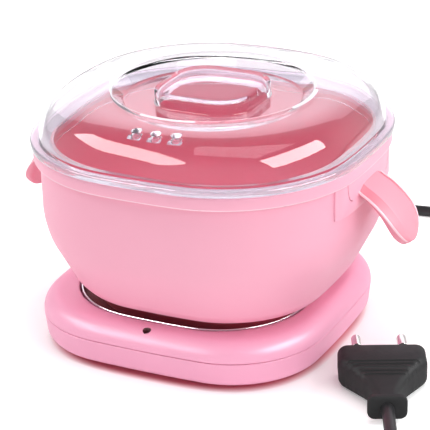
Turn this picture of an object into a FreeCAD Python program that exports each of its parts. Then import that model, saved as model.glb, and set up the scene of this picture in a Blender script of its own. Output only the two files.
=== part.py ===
import FreeCAD, Part
import math
import os

V = FreeCAD.Vector

# Driving dimensions, in millimetres. The origin is on the floor, under the middle of the pot.
# X runs through the two handles, the front with the vents and the indicator faces -Y.

# Pot: a soft foot, a thin fold band, an upper wall and a stiff rim
foot_half = 44.7
foot_corner = 31.3
foot_height = 8.4
foot_lean = 0.5
foot_lean_height = 5.0
foot_edge_half = 52.3
foot_top_half = 55.3
foot_top_height = 11.5
crease_half = 65.2
crease_height = 30.4
wall_half = 67.3
wall_corner = 53.7
wall_bend_height = 39.6
pot_height = 69.4
pot_bow = 287.0
foot_wall = 2.6
fold_wall = 1.6
upper_wall = 2.2
pot_floor = 3.4
heat_plate_half = 39.0
heat_plate_thick = 2.0
heat_plate_lip = 3.0

# Rim that holds the top of the upper wall
rim_overhang = 2.7
rim_height = 5.7
rim_lip_thick = 2.0
rim_lip_width = 4.0
rim_edge_round = 0.8

# Ear handles, each one moulding with the plate that hooks into the rim
handle_half_width = 13.2
handle_thick = 5.0
handle_droop_radius = 37.3
handle_axis_inset = 16.6
handle_axis_drop = 39.8
handle_tip_drop = 28.5
handle_edge_round = 1.6
bracket_half_width = 28.2
bracket_height = 13.5
bracket_thick = 1.8
hook_width = 5.0
hook_thick = 1.0
hook_height = 2.6
hook_half_spacing = 14.0

# Clear lid; its profile pairs a share of the way in from the flange with a share of the dome's rise
lid_wall = 2.0
lid_profile = [(0.0, 0.0), (0.05, 0.38), (0.1, 0.57), (0.2, 0.795), (0.35, 0.94), (0.55, 0.99), (1.0, 1.0)]
lid_flange_overhang = 0.95
lid_flange_thick = 2.9
lid_flange_step = 3.2
lid_height = 19.0
lid_crown_margin = 1.1
crown_flat = 0.5
lid_ridge_radius = 42.1
lid_dish_radius = 36.5
lid_dish_depth = 4.6
lid_skirt_depth = 3.6
lid_skirt_wall = 1.6
grip_half = 21.5
grip_corner = 14.0
grip_height = 6.2
grip_edge_round = 2.0
vent_radius = 2.0
vent_spacing = 8.4
vent_count = 3
vent_ring_gap = 14.7
vent_shift = 3.0

# Heated base, set a little to one side because the pot stands off the middle of its dish
base_offset = V(-4.0, 0.0, 0.0)
feet_height = 2.5
feet_radius = 6.0
feet_recess = 0.4
feet_half_spacing = 35.0
base_shoulder = 11.9
base_corner = 39.2
base_bow = 520.0
base_wall = 2.0
tray_height = 10.7
tray_edge_round = 3.0
tray_draft = 1.2
cover_height = 7.7
cover_edge_round = 7.4
seam_reveal = 0.3
seam_tongue = 2.0
seam_tongue_rise = 1.0
seam_tongue_wall = 0.9
ledge_width = 4.4
ledge_thick = 1.6
ear_radius = 6.0
ear_inset = 16.6
post_radius = 2.7
post_half_spacing = 20.0
boss_wall = 1.0

# Metal dish under the pot
dish_wall = 0.8
dish_floor = 1.0
dish_depth = 3.6
dish_gap = 0.8
dish_proud = 0.1
gasket_thick = 0.8
stud_radius = 1.5
stud_tail = 0.8

# Heater under the dish
heater_margin = 3.4
heater_thick = 1.0
clamp_thick = 1.2
clamp_inset = 1.5
clamp_stud_half_spacing = 14.0
thermostat_radius = 7.0
thermostat_height = 5.0
thermostat_offset = 20.0
rivet_radius = 1.2
rivet_drop = 1.6
rivet_x = 24.0
rivet_half_spacing = 4.0
rivet_clearance = 1.3
tab_length = 6.5
tab_width = 6.3
tab_thick = 0.8
tab_embed = 2.0
tab_wire_rise = 2.0
fuse_radius = 1.8
fuse_length = 14.0
fuse_lead_radius = 0.5
fuse_lead = 6.0
shield_margin = 11.0
shield_corner = 20.0
shield_thick = 0.5
shield_height = 2.5
shield_pillar_inset = 12.0
pillar_radius = 2.5
stake_radius = 1.2
stake_height = 0.8

# Fasteners
nut_across = 5.5
nut_height = 2.4
screw_radius = 1.2
screw_length = 10.0
screw_head_radius = 2.4
screw_head_height = 1.4

# Indicator and terminals
led_radius = 1.5
led_flange_radius = 1.9
led_flange_height = 1.0
led_height = 6.4
led_hole_radius = 1.4
led_board_size = V(12.0, 5.0, 1.2)
led_post_half_spacing = 4.0
led_board_height = 4.5
led_inset = 4.7
block_size = V(14.0, 10.0, 8.0)
block_x = -22.0
wire_radius = 0.8
wire_lane_gap = 8.0

# Mains cord, strain relief and plug; the plug's profile gives shares of its width, thickness and taper
cord_radius = 2.5
cord_height = 8.4
cord_tail_reach = 8.0
back_row_inset = 10.5
relief_length = 23.6
relief_neck_radius = 3.3
relief_flange_radius = 3.8
relief_flange_length = 2.4
relief_root_radius = 4.1
relief_tip_radius = 3.1
relief_collar_length = 2.6
clamp_bar = V(22.0, 8.0, 2.2)
clamp_bar_drop = 0.6
clamp_post_half_spacing = 7.5
clamp_post_radius = 2.7
clamp_screw_length = 6.0
clamp_screw_head_height = 1.2
plug_width = 35.3
plug_thick = 13.7
plug_front_length = 10.5
plug_length = 38.0
plug_profile = [(0.24, 0.63, 0.0), (0.3, 0.69, 0.22), (0.62, 0.9, 0.62), (1.0, 1.0, 1.0)]
plug_face_round = 1.0
plug_round = 0.46
plug_collar_width = 15.6
plug_collar_thick = 10.0
plug_collar_length = 3.0
pin_radius = 2.0
pin_length = 19.0
pin_spacing = 18.6
pin_shank_radius = 1.5
pin_embed = 4.0
sleeve_radius = 1.9
sleeve_length = 10.0
grip_groove_count = 5
grip_groove_width = 1.0
grip_groove_depth = 0.5
grip_groove_pitch = 2.4

# Put-away coil of the cord
coil_centre = V(131.4, 50.0, 3.4)
coil_outer_radius = 33.4
coil_half_turns_in = 4
coil_half_turns_out = 3
coil_gap = 0.6
tie_width = 9.0
tie_thick = 0.7
tie_slack = 0.3

# Fits
slip = 0.1
screw_slip = 0.05
lid_clearance = 0.6
foot_clearance = 4.4
wire_gap = 0.3
bend_share = 0.45


def bow_drop(bow):
    """How far a bowed side falls back at the screw posts."""
    return bow - math.sqrt(bow ** 2 - post_half_spacing ** 2)


# Heights and widths that follow
tray_floor = feet_height + base_wall
seam = feet_height + tray_height
cover_top = seam + cover_height
dish_rim = cover_top + dish_proud
dish_top = dish_rim - dish_depth
dish_under = dish_top - dish_floor
ledge_top = dish_under - gasket_thick
ledge_under = ledge_top - ledge_thick
clamp_under = dish_under - heater_thick - clamp_thick
shield_under = tray_floor + shield_height
dish_half = foot_half + foot_clearance + dish_wall
dish_corner = foot_corner + foot_clearance + dish_wall
opening_half = dish_half + dish_gap
opening_corner = dish_corner + dish_gap
skirt_half = opening_half + base_wall
base_half = opening_half + base_shoulder
base_inner_half = base_half - base_wall
skirt_corner = opening_corner + base_wall
post_x = (skirt_half - bow_drop(pot_bow) + base_inner_half - bow_drop(base_bow)) / 2
post_foot = tray_floor + base_wall
ear_x = opening_half - ear_inset
heater_radius = math.hypot(ear_x, ear_x) - ear_radius - heater_margin
shield_half = opening_half - ledge_width - shield_margin
pillar_x = shield_half - shield_pillar_inset
back_row = base_inner_half - back_row_inset
front_row = -base_half + led_inset
led_foot = tray_floor + led_board_height
clamp_bar_under = cord_height + cord_radius - clamp_bar_drop
relief_root = base_half + slip
relief_tip = relief_root + relief_length
pot_bottom = dish_top
pot_top = pot_bottom + pot_height
crease = pot_bottom + crease_height
rim_half = wall_half + rim_overhang
rim_under = pot_top - rim_height
wall_top = pot_top - rim_lip_thick - slip
rim_opening_half = wall_half - rim_lip_width
corner_rate = (wall_corner - foot_corner) / (wall_half - foot_half)
lid_top = pot_top + lid_height


def corner_for(half):
    """Corner radius of the pot's outline at a given half width."""
    return wall_corner - (wall_half - half) * corner_rate


def outline(half, corner, bow, z):
    """Square with bowed sides and round corners, as eight tangent arcs."""
    k = half - bow
    c = (k + math.sqrt(2 * (bow - corner) ** 2 - k * k)) / 2
    turn = math.atan2(c, c - k)

    def arc(cx, cy, radius, start, end, quarter):
        points = []
        for t in (start, (start + end) / 2, end):
            p = V(cx + radius * math.cos(t), cy + radius * math.sin(t), z)
            a = quarter * math.pi / 2
            points.append(V(p.x * math.cos(a) - p.y * math.sin(a), p.x * math.sin(a) + p.y * math.cos(a), z))
        return Part.Arc(*points).toShape()

    edges = []
    for quarter in range(4):
        edges.append(arc(k, 0, bow, -turn, turn, quarter))
        edges.append(arc(c, c, corner, turn, math.pi / 2 - turn, quarter))
    return Part.Wire(edges)


def slab(half, corner, bow, z0, z1):
    return Part.Face(outline(half, corner, bow, z0)).extrude(V(0, 0, z1 - z0))


def frame(half, corner, bow, wall, z0, z1):
    """Upright ring of one wall thickness inside an outline."""
    inner = slab(half - wall, corner - wall, bow - wall, z0, z1)
    return slab(half, corner, bow, z0, z1).cut(inner)


def pot_loft(levels, inset):
    """Solid through pot outlines; levels are (half width, height) pairs."""
    wires = []
    for half, z in levels:
        wires.append(outline(half - inset, corner_for(half) - inset, pot_bow - inset, z))
    return Part.makeLoft(wires, True, True)


def disc(radius, z0, z1, x=0.0, y=0.0):
    return Part.makeCylinder(radius, z1 - z0, V(x, y, z0))


def block(size, x, y, z0):
    return Part.makeBox(size.x, size.y, size.z, V(x - size.x / 2, y - size.y / 2, z0))


def hex_nut(x, y, z0):
    points = []
    for i in range(7):
        a = i * math.pi / 3
        r = nut_across / math.sqrt(3)
        points.append(V(x + r * math.cos(a), y + r * math.sin(a), z0))
    body = Part.Face(Part.makePolygon(points)).extrude(V(0, 0, nut_height))
    return body.cut(disc(stud_radius + screw_slip, z0, z0 + nut_height, x, y))


def corners(a, b):
    return [(a, b), (-a, b), (-a, -b), (a, -b)]


def level_edges(shape, z):
    return [e for e in shape.Edges if abs(e.BoundBox.ZMin - z) < 1e-4 and abs(e.BoundBox.ZMax - z) < 1e-4]


def save(name, shape):
    if isinstance(shape, list):
        shape = Part.makeCompound(shape)
    shape.exportStep(os.path.join("parts", name + ".step"))


def save_in_base(name, shape):
    if isinstance(shape, list):
        shape = Part.makeCompound(shape)
    save(name, shape.translated(base_offset))


def route_wire(name, points):
    """Straight runs joined by tangent arcs as large as the runs allow."""
    edges = []
    radii = []
    start = points[0]
    for before, here, after in zip(points, points[1:], points[2:]):
        back = (before - here).normalize()
        ahead = (after - here).normalize()
        half_turn = (math.pi - back.getAngle(ahead)) / 2
        reach = bend_share * min((before - here).Length, (after - here).Length)
        radius = reach / math.tan(half_turn)
        middle = (back + ahead).normalize()
        centre = here + middle * (radius / math.cos(half_turn))
        first = here + back * reach
        last = here + ahead * reach
        edges.append(Part.LineSegment(start, first).toShape())
        edges.append(Part.Arc(first, centre - middle * radius, last).toShape())
        radii.append(radius)
        start = last
    edges.append(Part.LineSegment(start, points[-1]).toShape())
    print(name, "bend radii", [round(r, 1) for r in radii])
    return Part.Wire(edges)


def tube(name, wire, radius):
    """Round tube along a wire, with its volume set against section times length."""
    start = wire.OrderedEdges[0]
    direction = start.tangentAt(start.FirstParameter)
    section = Part.Wire(Part.makeCircle(radius, start.valueAt(start.FirstParameter), direction))
    solid = wire.makePipeShell([section], True, False)
    expected = math.pi * radius * radius * wire.Length
    print(name, "length", round(wire.Length, 1), "volume ratio", round(solid.Volume / expected, 4))
    return solid


def base_cover():
    """Upper shell: round shoulder, skirt and ledge for the dish, screw posts, indicator hole."""
    body = slab(base_half, base_corner, base_bow, seam + seam_reveal / 2, cover_top)
    body = body.makeFillet(cover_edge_round, level_edges(body, cover_top))
    roof = cover_top - base_wall
    hollow = slab(base_inner_half, base_corner - base_wall, base_bow - base_wall, seam, roof)
    hollow = hollow.makeFillet(cover_edge_round - base_wall, level_edges(hollow, roof))
    hollow = hollow.cut(slab(skirt_half, skirt_corner, pot_bow, ledge_under, cover_top))
    posts = corners(post_x, post_half_spacing)
    hollow = hollow.cut([disc(post_radius, seam, cover_top, x, y) for x, y in posts])
    body = body.cut(hollow)
    body = body.fuse([disc(post_radius, post_foot, seam + base_wall, x, y) for x, y in posts])
    well = slab(opening_half, opening_corner, pot_bow, ledge_top, cover_top + base_wall)
    window = slab(opening_half - ledge_width, opening_corner - ledge_width, pot_bow, ledge_under, ledge_top)
    ears = corners(ear_x, ear_x)
    window = window.cut([disc(ear_radius, ledge_under, ledge_top, x, y) for x, y in ears])
    holes = [disc(stud_radius + slip, ledge_under, ledge_top, x, y) for x, y in ears]
    screw_top = feet_height + screw_length + slip
    holes += [disc(screw_radius + screw_slip, post_foot, screw_top, x, y) for x, y in posts]
    holes.append(disc(led_hole_radius, seam, cover_top, 0, front_row))
    return body.cut([well, window] + holes).removeSplitter()


def base_tray():
    """Lower shell: drafted wall, tongue for the cover, screw bosses, seats for what it carries."""
    rim = seam - seam_reveal / 2
    low = outline(base_half - tray_draft, base_corner - tray_draft, base_bow - tray_draft, feet_height)
    body = Part.makeLoft([low, outline(base_half, base_corner, base_bow, rim)], True, True)
    body = body.makeFillet(tray_edge_round, level_edges(body, feet_height))
    inner_corner = base_corner - base_wall
    inner_bow = base_bow - base_wall
    body = body.cut(slab(base_inner_half, inner_corner, inner_bow, tray_floor, seam))
    root = seam - seam_tongue
    tongue = frame(base_inner_half, inner_corner, inner_bow, seam_tongue_wall + slip, root, rim)
    upper = frame(base_inner_half - slip, inner_corner - slip, inner_bow - slip, seam_tongue_wall,
                  root, seam + seam_tongue_rise)
    tongue = tongue.fuse(upper)
    posts = corners(post_x, post_half_spacing)
    notches = [disc(post_radius + slip, root, seam + seam_tongue_rise, x, y) for x, y in posts]
    flange_start = base_inner_half - relief_flange_length
    notches.append(relief_cylinder(relief_flange_radius + slip, flange_start, base_half))
    body = body.fuse(tongue.cut(notches))
    neck_start = base_inner_half - base_wall
    body = body.cut(relief_cylinder(relief_neck_radius + slip, neck_start, base_half + base_wall))
    boss_foot = feet_height + tray_edge_round / 2
    seats = [disc(post_radius + boss_wall, boss_foot, post_foot, x, y) for x, y in posts]
    pillars = corners(pillar_x, pillar_x)
    stake_top = shield_under + shield_thick + stake_height
    seats += [disc(pillar_radius, tray_floor - base_wall / 2, shield_under, x, y) for x, y in pillars]
    seats += [disc(stake_radius, tray_floor, stake_top, x, y) for x, y in pillars]
    for side in (-1, 1):
        x = side * led_post_half_spacing
        seats.append(disc(led_radius, tray_floor - base_wall / 2, led_foot, x, front_row))
        x = side * clamp_post_half_spacing
        seats.append(disc(clamp_post_radius, tray_floor - base_wall / 2, clamp_bar_under, x, back_row))
    body = body.fuse(seats)
    holes = []
    for x, y in posts:
        holes.append(disc(screw_radius + screw_slip, feet_height, post_foot, x, y))
        holes.append(disc(screw_head_radius + slip, 0, feet_height + screw_head_height, x, y))
    for x, y in corners(feet_half_spacing, feet_half_spacing):
        holes.append(disc(feet_radius + slip, 0, feet_height + feet_recess, x, y))
    for side in (-1, 1):
        x = side * clamp_post_half_spacing
        depth = clamp_bar_under + clamp_bar.z - clamp_screw_length - slip
        holes.append(disc(screw_radius + screw_slip, depth, clamp_bar_under, x, back_row))
    return body.cut(holes).removeSplitter()


def relief_cylinder(radius, y0, y1):
    """Round bar along the cord's way out of the base."""
    return Part.makeCylinder(radius, y1 - y0, V(0, y0, cord_height), V(0, 1, 0))


def rubber_feet():
    feet = []
    for x, y in corners(feet_half_spacing, feet_half_spacing):
        foot = disc(feet_radius, 0, feet_height + feet_recess, x, y)
        feet.append(foot.makeFillet(feet_recess, level_edges(foot, 0)))
    return feet


def tray_screws():
    """Self-tapping screws driven up through the tray into the cover's posts."""
    screws = []
    for x, y in corners(post_x, post_half_spacing):
        shank_foot = feet_height + screw_head_height
        head = disc(screw_head_radius, shank_foot - screw_head_height + feet_recess, shank_foot, x, y)
        screws.append(head.fuse(disc(screw_radius, shank_foot, feet_height + screw_length, x, y)))
    return screws


def heating_plate():
    """Metal dish with upturned edge and the studs welded under it."""
    body = slab(dish_half, dish_corner, pot_bow, dish_under, dish_rim)
    inner_half = dish_half - dish_wall
    body = body.cut(slab(inner_half, dish_corner - dish_wall, pot_bow, dish_top, dish_rim + dish_wall))
    ear_stud_foot = ledge_under - nut_height - stud_tail
    clamp_stud_foot = clamp_under - nut_height - stud_tail
    studs = [disc(stud_radius, ear_stud_foot, dish_under, x, y) for x, y in corners(ear_x, ear_x)]
    return body.fuse(studs + heater_stud_bars(stud_radius, clamp_stud_foot, dish_under))


def plate_gasket():
    width = ledge_width - dish_gap - slip
    return frame(dish_half - slip, dish_corner - slip, pot_bow, width, ledge_top, dish_under)


def heater_stud_bars(radius, z0, z1):
    """Bars at the two studs that hold the heater up."""
    return [disc(radius, z0, z1, side * clamp_stud_half_spacing) for side in (-1, 1)]


def heater_disc():
    """Mica heater: a disc with two riveted terminals that reach down through the clamp."""
    foot = dish_under - heater_thick
    body = disc(heater_radius, foot, dish_under)
    rivets = []
    for side in (-1, 1):
        rivets.append(disc(rivet_radius, clamp_under - rivet_drop, foot, rivet_x, side * rivet_half_spacing))
    return body.cut(heater_stud_bars(stud_radius + slip, foot, dish_under)).fuse(rivets)


def heater_clamp():
    top = dish_under - heater_thick
    holes = heater_stud_bars(stud_radius + slip, clamp_under, top)
    for side in (-1, 1):
        y = side * rivet_half_spacing
        holes.append(disc(rivet_radius + rivet_clearance, clamp_under, top, rivet_x, y))
    return disc(heater_radius - clamp_inset, clamp_under, top).cut(holes)


def thermostat():
    """Bimetal switch, cap up against the clamp, with a blade tab on each side."""
    foot = clamp_under - thermostat_height
    body = disc(thermostat_radius, foot, clamp_under, 0, -thermostat_offset)
    tabs = []
    for side in (-1, 1):
        middle = side * (thermostat_radius + (tab_length - tab_embed) / 2)
        size = V(tab_length + tab_embed, tab_width, tab_thick)
        tabs.append(block(size, middle, -thermostat_offset, foot + tab_thick))
    return body.fuse(tabs)


def thermal_fuse():
    z = clamp_under - fuse_radius - slip
    y = thermostat_offset
    body = Part.makeCylinder(fuse_radius, fuse_length, V(-fuse_length / 2, y, z), V(1, 0, 0))
    reach = fuse_length + 2 * fuse_lead
    lead = Part.makeCylinder(fuse_lead_radius, reach, V(-reach / 2, y, z), V(1, 0, 0))
    return body.fuse(lead)


def heat_shield():
    top = shield_under + shield_thick
    holes = [disc(stake_radius + slip, shield_under, top, x, y) for x, y in corners(pillar_x, pillar_x)]
    return slab(shield_half, shield_corner, base_bow, shield_under, top).cut(holes)


def indicator_led():
    foot = led_foot + led_board_size.z
    shoulder = foot + led_height - led_radius
    flange = disc(led_flange_radius, foot, foot + led_flange_height, 0, front_row)
    dome = Part.makeSphere(led_radius, V(0, front_row, shoulder))
    return flange.fuse([disc(led_radius, foot, shoulder, 0, front_row), dome]).removeSplitter()


def internal_wires():
    """Insulated leads between the cord, the terminal block, the heater's parts and the indicator."""
    tail = back_row - cord_tail_reach - wire_radius
    front = back_row - block_size.y / 2 - wire_gap
    low = cord_height
    high = clamp_under - thermostat_height + tab_wire_rise
    tab_end = thermostat_radius + tab_length + wire_gap
    fuse_end = fuse_length / 2 + fuse_lead + wire_gap
    fuse_z = clamp_under - fuse_radius - slip
    rivet_z = clamp_under - rivet_drop / 2
    rivet_end = rivet_half_spacing + rivet_radius + wire_radius + wire_gap
    lane = shield_half + wire_lane_gap
    block_end = block_x - block_size.x / 2 - wire_gap
    board_end = -led_board_size.x / 2 - wire_gap
    switch_y = -thermostat_offset
    fuse_y = thermostat_offset
    routes = [
        [V(-1.2, tail, low), V(-5, tail - 3, low), V(-12, tail - 4, low), V(-16.5, tail - 2, low),
         V(-17, front, low)],
        [V(1.2, tail, low), V(-3, tail - 6, low), V(-13, tail - 8, low), V(-20, tail - 5, low),
         V(-20.5, front, low)],
        [V(-27, front, high), V(-27.5, front - 12, high), V(-24, 3, high), V(-20.5, switch_y + 8, high),
         V(-tab_end - 3, switch_y + 1, high), V(-tab_end, switch_y, high)],
        [V(tab_end, switch_y, high), V(tab_end + 5, switch_y + 1, high),
         V(rivet_x - 1, switch_y + 8, rivet_z), V(rivet_x, -rivet_end, rivet_z)],
        [V(-24, front, high), V(-24.2, front - 8, high), V(-19, fuse_y + 3, fuse_z),
         V(-fuse_end, fuse_y, fuse_z)],
        [V(fuse_end, fuse_y, fuse_z), V(fuse_end + 5, fuse_y - 1, fuse_z), V(rivet_x, fuse_y - 6, rivet_z),
         V(rivet_x, rivet_end, rivet_z)],
        [V(block_end, back_row, low), V(block_end - 6, back_row - 2, low), V(-lane, back_row - 14, low),
         V(-lane - 1, 8, low), V(-lane, -18, low), V(-lane + 8, front_row + 16, low),
         V(board_end - 15, front_row + 3, low), V(board_end, front_row, led_foot + led_board_size.z / 2)],
    ]
    return [tube("wire", route_wire("wire", route), wire_radius) for route in routes]


def strain_relief():
    """Tapered boot: a flange inside the tray wall, a neck through it and a sleeve round the cord."""
    inner = base_inner_half - slip
    outer = relief_root
    profile = [
        V(0, inner - relief_flange_length, cord_height + cord_radius + screw_slip),
        V(0, inner - relief_flange_length, cord_height + relief_flange_radius),
        V(0, inner, cord_height + relief_flange_radius),
        V(0, inner, cord_height + relief_neck_radius),
        V(0, outer, cord_height + relief_neck_radius),
        V(0, outer, cord_height + relief_root_radius),
        V(0, outer + relief_collar_length, cord_height + relief_root_radius),
        V(0, relief_tip, cord_height + relief_tip_radius),
        V(0, relief_tip, cord_height + cord_radius + screw_slip),
    ]
    face = Part.Face(Part.makePolygon(profile + profile[:1]))
    return face.revolve(V(0, 0, cord_height), V(0, 1, 0), 360)


def cord_clamp():
    bar = block(clamp_bar, 0, back_row, clamp_bar_under)
    holes = [relief_cylinder(cord_radius + slip, back_row - clamp_bar.y, back_row + clamp_bar.y)]
    for side in (-1, 1):
        x = side * clamp_post_half_spacing
        holes.append(disc(screw_radius + slip, clamp_bar_under, clamp_bar_under + clamp_bar.z, x, back_row))
    return bar.cut(holes)


def clamp_screws():
    screws = []
    top = clamp_bar_under + clamp_bar.z
    for side in (-1, 1):
        x = side * clamp_post_half_spacing
        head = disc(screw_head_radius, top, top + clamp_screw_head_height, x, back_row)
        screws.append(head.fuse(disc(screw_radius, top - clamp_screw_length, top, x, back_row)))
    return screws


foot_levels = [
    (foot_half, pot_bottom),
    (foot_half + foot_lean, pot_bottom + foot_lean_height),
    (foot_edge_half, pot_bottom + foot_height),
    (foot_top_half, pot_bottom + foot_top_height),
]
fold_levels = [foot_levels[-1], (crease_half, crease)]
wall_levels = [fold_levels[-1], (wall_half, pot_bottom + wall_bend_height), (wall_half, wall_top)]


def heat_plate_corner(half):
    return foot_corner - (foot_half - half)


def pot_foot():
    """Soft cup at the bottom of the pot, moulded round the edge of its metal plate."""
    inside = [(foot_half, pot_bottom + pot_floor)] + foot_levels[1:]
    body = pot_loft(foot_levels, 0).cut(pot_loft(inside, foot_wall))
    pocket = heat_plate_half + screw_slip
    window = heat_plate_half - heat_plate_lip
    seat = pot_bottom + heat_plate_thick
    body = body.cut(slab(pocket, heat_plate_corner(pocket), pot_bow, pot_bottom, seat))
    return body.cut(slab(window, heat_plate_corner(window), pot_bow, seat, pot_bottom + pot_floor))


def pot_heat_plate():
    corner = heat_plate_corner(heat_plate_half)
    return slab(heat_plate_half, corner, pot_bow, pot_bottom, pot_bottom + heat_plate_thick)


def pot_rim():
    """Stiff band over the top of the wall, with slots under it for the handle hooks."""
    body = slab(rim_half, wall_corner + rim_overhang, pot_bow + rim_overhang, rim_under, pot_top)
    body = body.makeFillet(rim_edge_round, level_edges(body, rim_under) + level_edges(body, pot_top))
    wall_room = slab(wall_half + slip, wall_corner + slip, pot_bow + slip, rim_under, pot_top - rim_lip_thick)
    body = body.cut(wall_room)
    lip_corner = wall_corner - rim_lip_width
    body = body.cut(slab(rim_opening_half, lip_corner, pot_bow - rim_lip_width, rim_under, pot_top))
    slots = []
    for side in (-1, 1):
        for hook in hooks(slip):
            slots.append(hook if side > 0 else hook.mirror(V(0, 0, 0), V(1, 0, 0)))
    return body.cut(slots)


def hooks(clearance):
    """Two upright tongues on top of a handle plate, or the slots for them."""
    size = V(hook_thick + 2 * clearance, hook_width + 2 * clearance, hook_height + clearance)
    x = wall_half + slip + bracket_thick / 2
    return [block(size, x, side * hook_half_spacing, rim_under) for side in (-1, 1)]


def right_handle():
    """Drooping ear on a plate that follows the wall under the rim."""
    root = wall_half + slip
    plate = frame(root + bracket_thick, wall_corner + slip + bracket_thick, pot_bow + slip + bracket_thick,
                  bracket_thick, rim_under - bracket_height, rim_under)
    width = 2 * bracket_half_width
    plate = plate.common(Part.makeBox(rim_half, width, pot_top, V(0, -bracket_half_width, 0)))
    start = root + bracket_thick / 2
    tip_z = rim_under - handle_tip_drop
    axis_x = rim_half - handle_axis_inset
    axis_z = rim_under - handle_axis_drop

    def droop(radius):
        """First, middle and last point of an arc from the plate to just past the tip."""
        first = math.asin((start - axis_x) / radius)
        last = math.acos((tip_z - handle_edge_round - axis_z) / radius)
        turns = [first, (first + last) / 2, last]
        return [V(axis_x + radius * math.sin(t), -handle_half_width, axis_z + radius * math.cos(t)) for t in turns]

    upper = droop(handle_droop_radius)
    under = droop(handle_droop_radius - handle_thick)
    edges = [
        Part.Arc(*upper).toShape(),
        Part.makeLine(upper[2], under[2]),
        Part.Arc(*under).toShape(),
        Part.makeLine(under[0], upper[0]),
    ]
    strip = Part.Face(Part.Wire(Part.__sortEdges__(edges))).extrude(V(0, 2 * handle_half_width, 0))
    tip_centre = tip_z + handle_half_width
    length = 2 * rim_half
    tongue = Part.makeCylinder(handle_half_width, length, V(0, 0, tip_centre), V(1, 0, 0))
    upright = Part.makeBox(length, 2 * handle_half_width, pot_top, V(0, -handle_half_width, tip_centre))
    ear = strip.common(tongue.fuse(upright)).removeSplitter()
    ear = ear.makeFillet(handle_edge_round, side_edges(ear, start))
    return plate.fuse([ear] + hooks(0))


def side_edges(ear, start):
    """Long edges on the two sides and round the tip of an ear."""
    chosen = []
    for edge in ear.Edges:
        flat_across = edge.BoundBox.XLength < 1e-3 and edge.BoundBox.ZLength < 1e-3
        if edge.BoundBox.XMax > start + 1e-3 and not flat_across and edge.Length > handle_thick + 1e-3:
            chosen.append(edge)
    return chosen


def lid_loft(inset, z0):
    """Crowned dome through outlines that turn from the rim's square to the round ridge."""
    crown = lid_ridge_radius + lid_crown_margin
    start = rim_half + lid_flange_overhang - lid_flange_step
    rise = lid_top - inset - z0
    wires = []
    for inward, upward in lid_profile:
        half = start + (crown - start) * inward
        corner = inward * (crown - crown_flat) + (1 - inward) * wall_corner
        bow = 1 / (inward / (crown + crown_flat) + (1 - inward) / pot_bow)
        wires.append(outline(half - inset, corner - inset, bow - inset, z0 + rise * upward))
    return Part.makeLoft(wires, True, False)


def lid_dish(wall):
    """Round well inside the ridge, or the same grown by a wall, as a turned solid."""
    floor = lid_top - lid_dish_depth - wall
    top = lid_top + grip_height
    edge = lid_ridge_radius + wall
    profile = [V(0, 0, floor), V(lid_dish_radius + wall / 2, 0, floor), V(edge, 0, lid_top), V(edge, 0, top),
               V(0, 0, top)]
    return Part.Face(Part.makePolygon(profile + profile[:1])).revolve(V(0, 0, 0), V(0, 0, 1), 360)


def lid():
    """One clear moulding: flange, dome, round ridge, dish with a hollow grip, vents and a locating skirt."""
    flange_half = rim_half + lid_flange_overhang
    flange_corner = wall_corner + rim_overhang + lid_flange_overhang
    flange_top = pot_top + lid_flange_thick
    flange = slab(flange_half, flange_corner, pot_bow, pot_top, flange_top)
    flange = flange.makeFillet(lid_flange_thick / 3, level_edges(flange, flange_top))
    skirt_half_width = rim_opening_half - lid_clearance
    skirt_corner_radius = wall_corner - rim_lip_width - lid_clearance
    skirt = slab(skirt_half_width, skirt_corner_radius, pot_bow, pot_top - lid_skirt_depth, pot_top)
    skirt_inside = slab(skirt_half_width - lid_skirt_wall, skirt_corner_radius - lid_skirt_wall, pot_bow,
                        pot_top - lid_skirt_depth, flange_top)
    dome = lid_loft(0, flange_top)
    hollow = lid_loft(lid_wall, flange_top).cut(lid_dish(lid_wall))
    body = dome.cut(lid_dish(0)).fuse([flange, skirt])
    body = body.cut(hollow).cut(skirt_inside)
    floor = lid_top - lid_dish_depth
    grip = slab(grip_half, grip_corner, pot_bow, floor - lid_wall / 2, floor + grip_height)
    grip = grip.makeFillet(grip_edge_round, level_edges(grip, floor + grip_height))
    grip_hollow = slab(grip_half - lid_wall, grip_corner - lid_wall, pot_bow, floor - 2 * lid_wall,
                       floor + grip_height - lid_wall)
    body = body.fuse(grip).cut(grip_hollow)
    ring = lid_ridge_radius + vent_ring_gap
    vents = []
    for i in range(vent_count):
        a = ((i - (vent_count - 1) / 2) * vent_spacing + vent_shift) / ring
        vents.append(disc(vent_radius, pot_top, lid_top, ring * math.sin(a), -ring * math.cos(a)))
    return body.cut(vents)


# Route of the cord: out of the base at the back, round to the coil, then on to the plug
coil_entry = coil_centre + V(coil_outer_radius, 2 * cord_radius, 0)
coil_leave = coil_centre + V(coil_outer_radius, -2 * cord_radius, 2 * cord_radius + coil_gap)
rear_route = [
    base_offset + V(0, relief_tip, cord_height), base_offset + V(0, relief_tip + 13, cord_height),
    V(-0.2, 116.5, 4.2), V(10.5, 130, 2.6), V(31, 138, 2.6), V(54, 141.5, 2.6), V(80, 140.3, 2.6),
    V(106, 133, 2.6), V(130, 121, 2.6), V(149.5, 105, 2.6), V(161.3, 88, 2.9), coil_entry + V(0, 15.5, 0),
    coil_entry,
]
front_route = [
    coil_leave, coil_leave - V(0, 14, 0), V(165.4, 9, 4.4), V(164.6, -17, 2.6), V(165.4, -44, 2.6),
    V(164.8, -72.6, 2.6), V(151.7, -88.9, 2.6), V(131, -93.6, 2.6), V(112, -85.2, 4.6), V(103.2, -66.7, 6.9),
    V(98.9, -57.2, 6.9),
]


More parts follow.
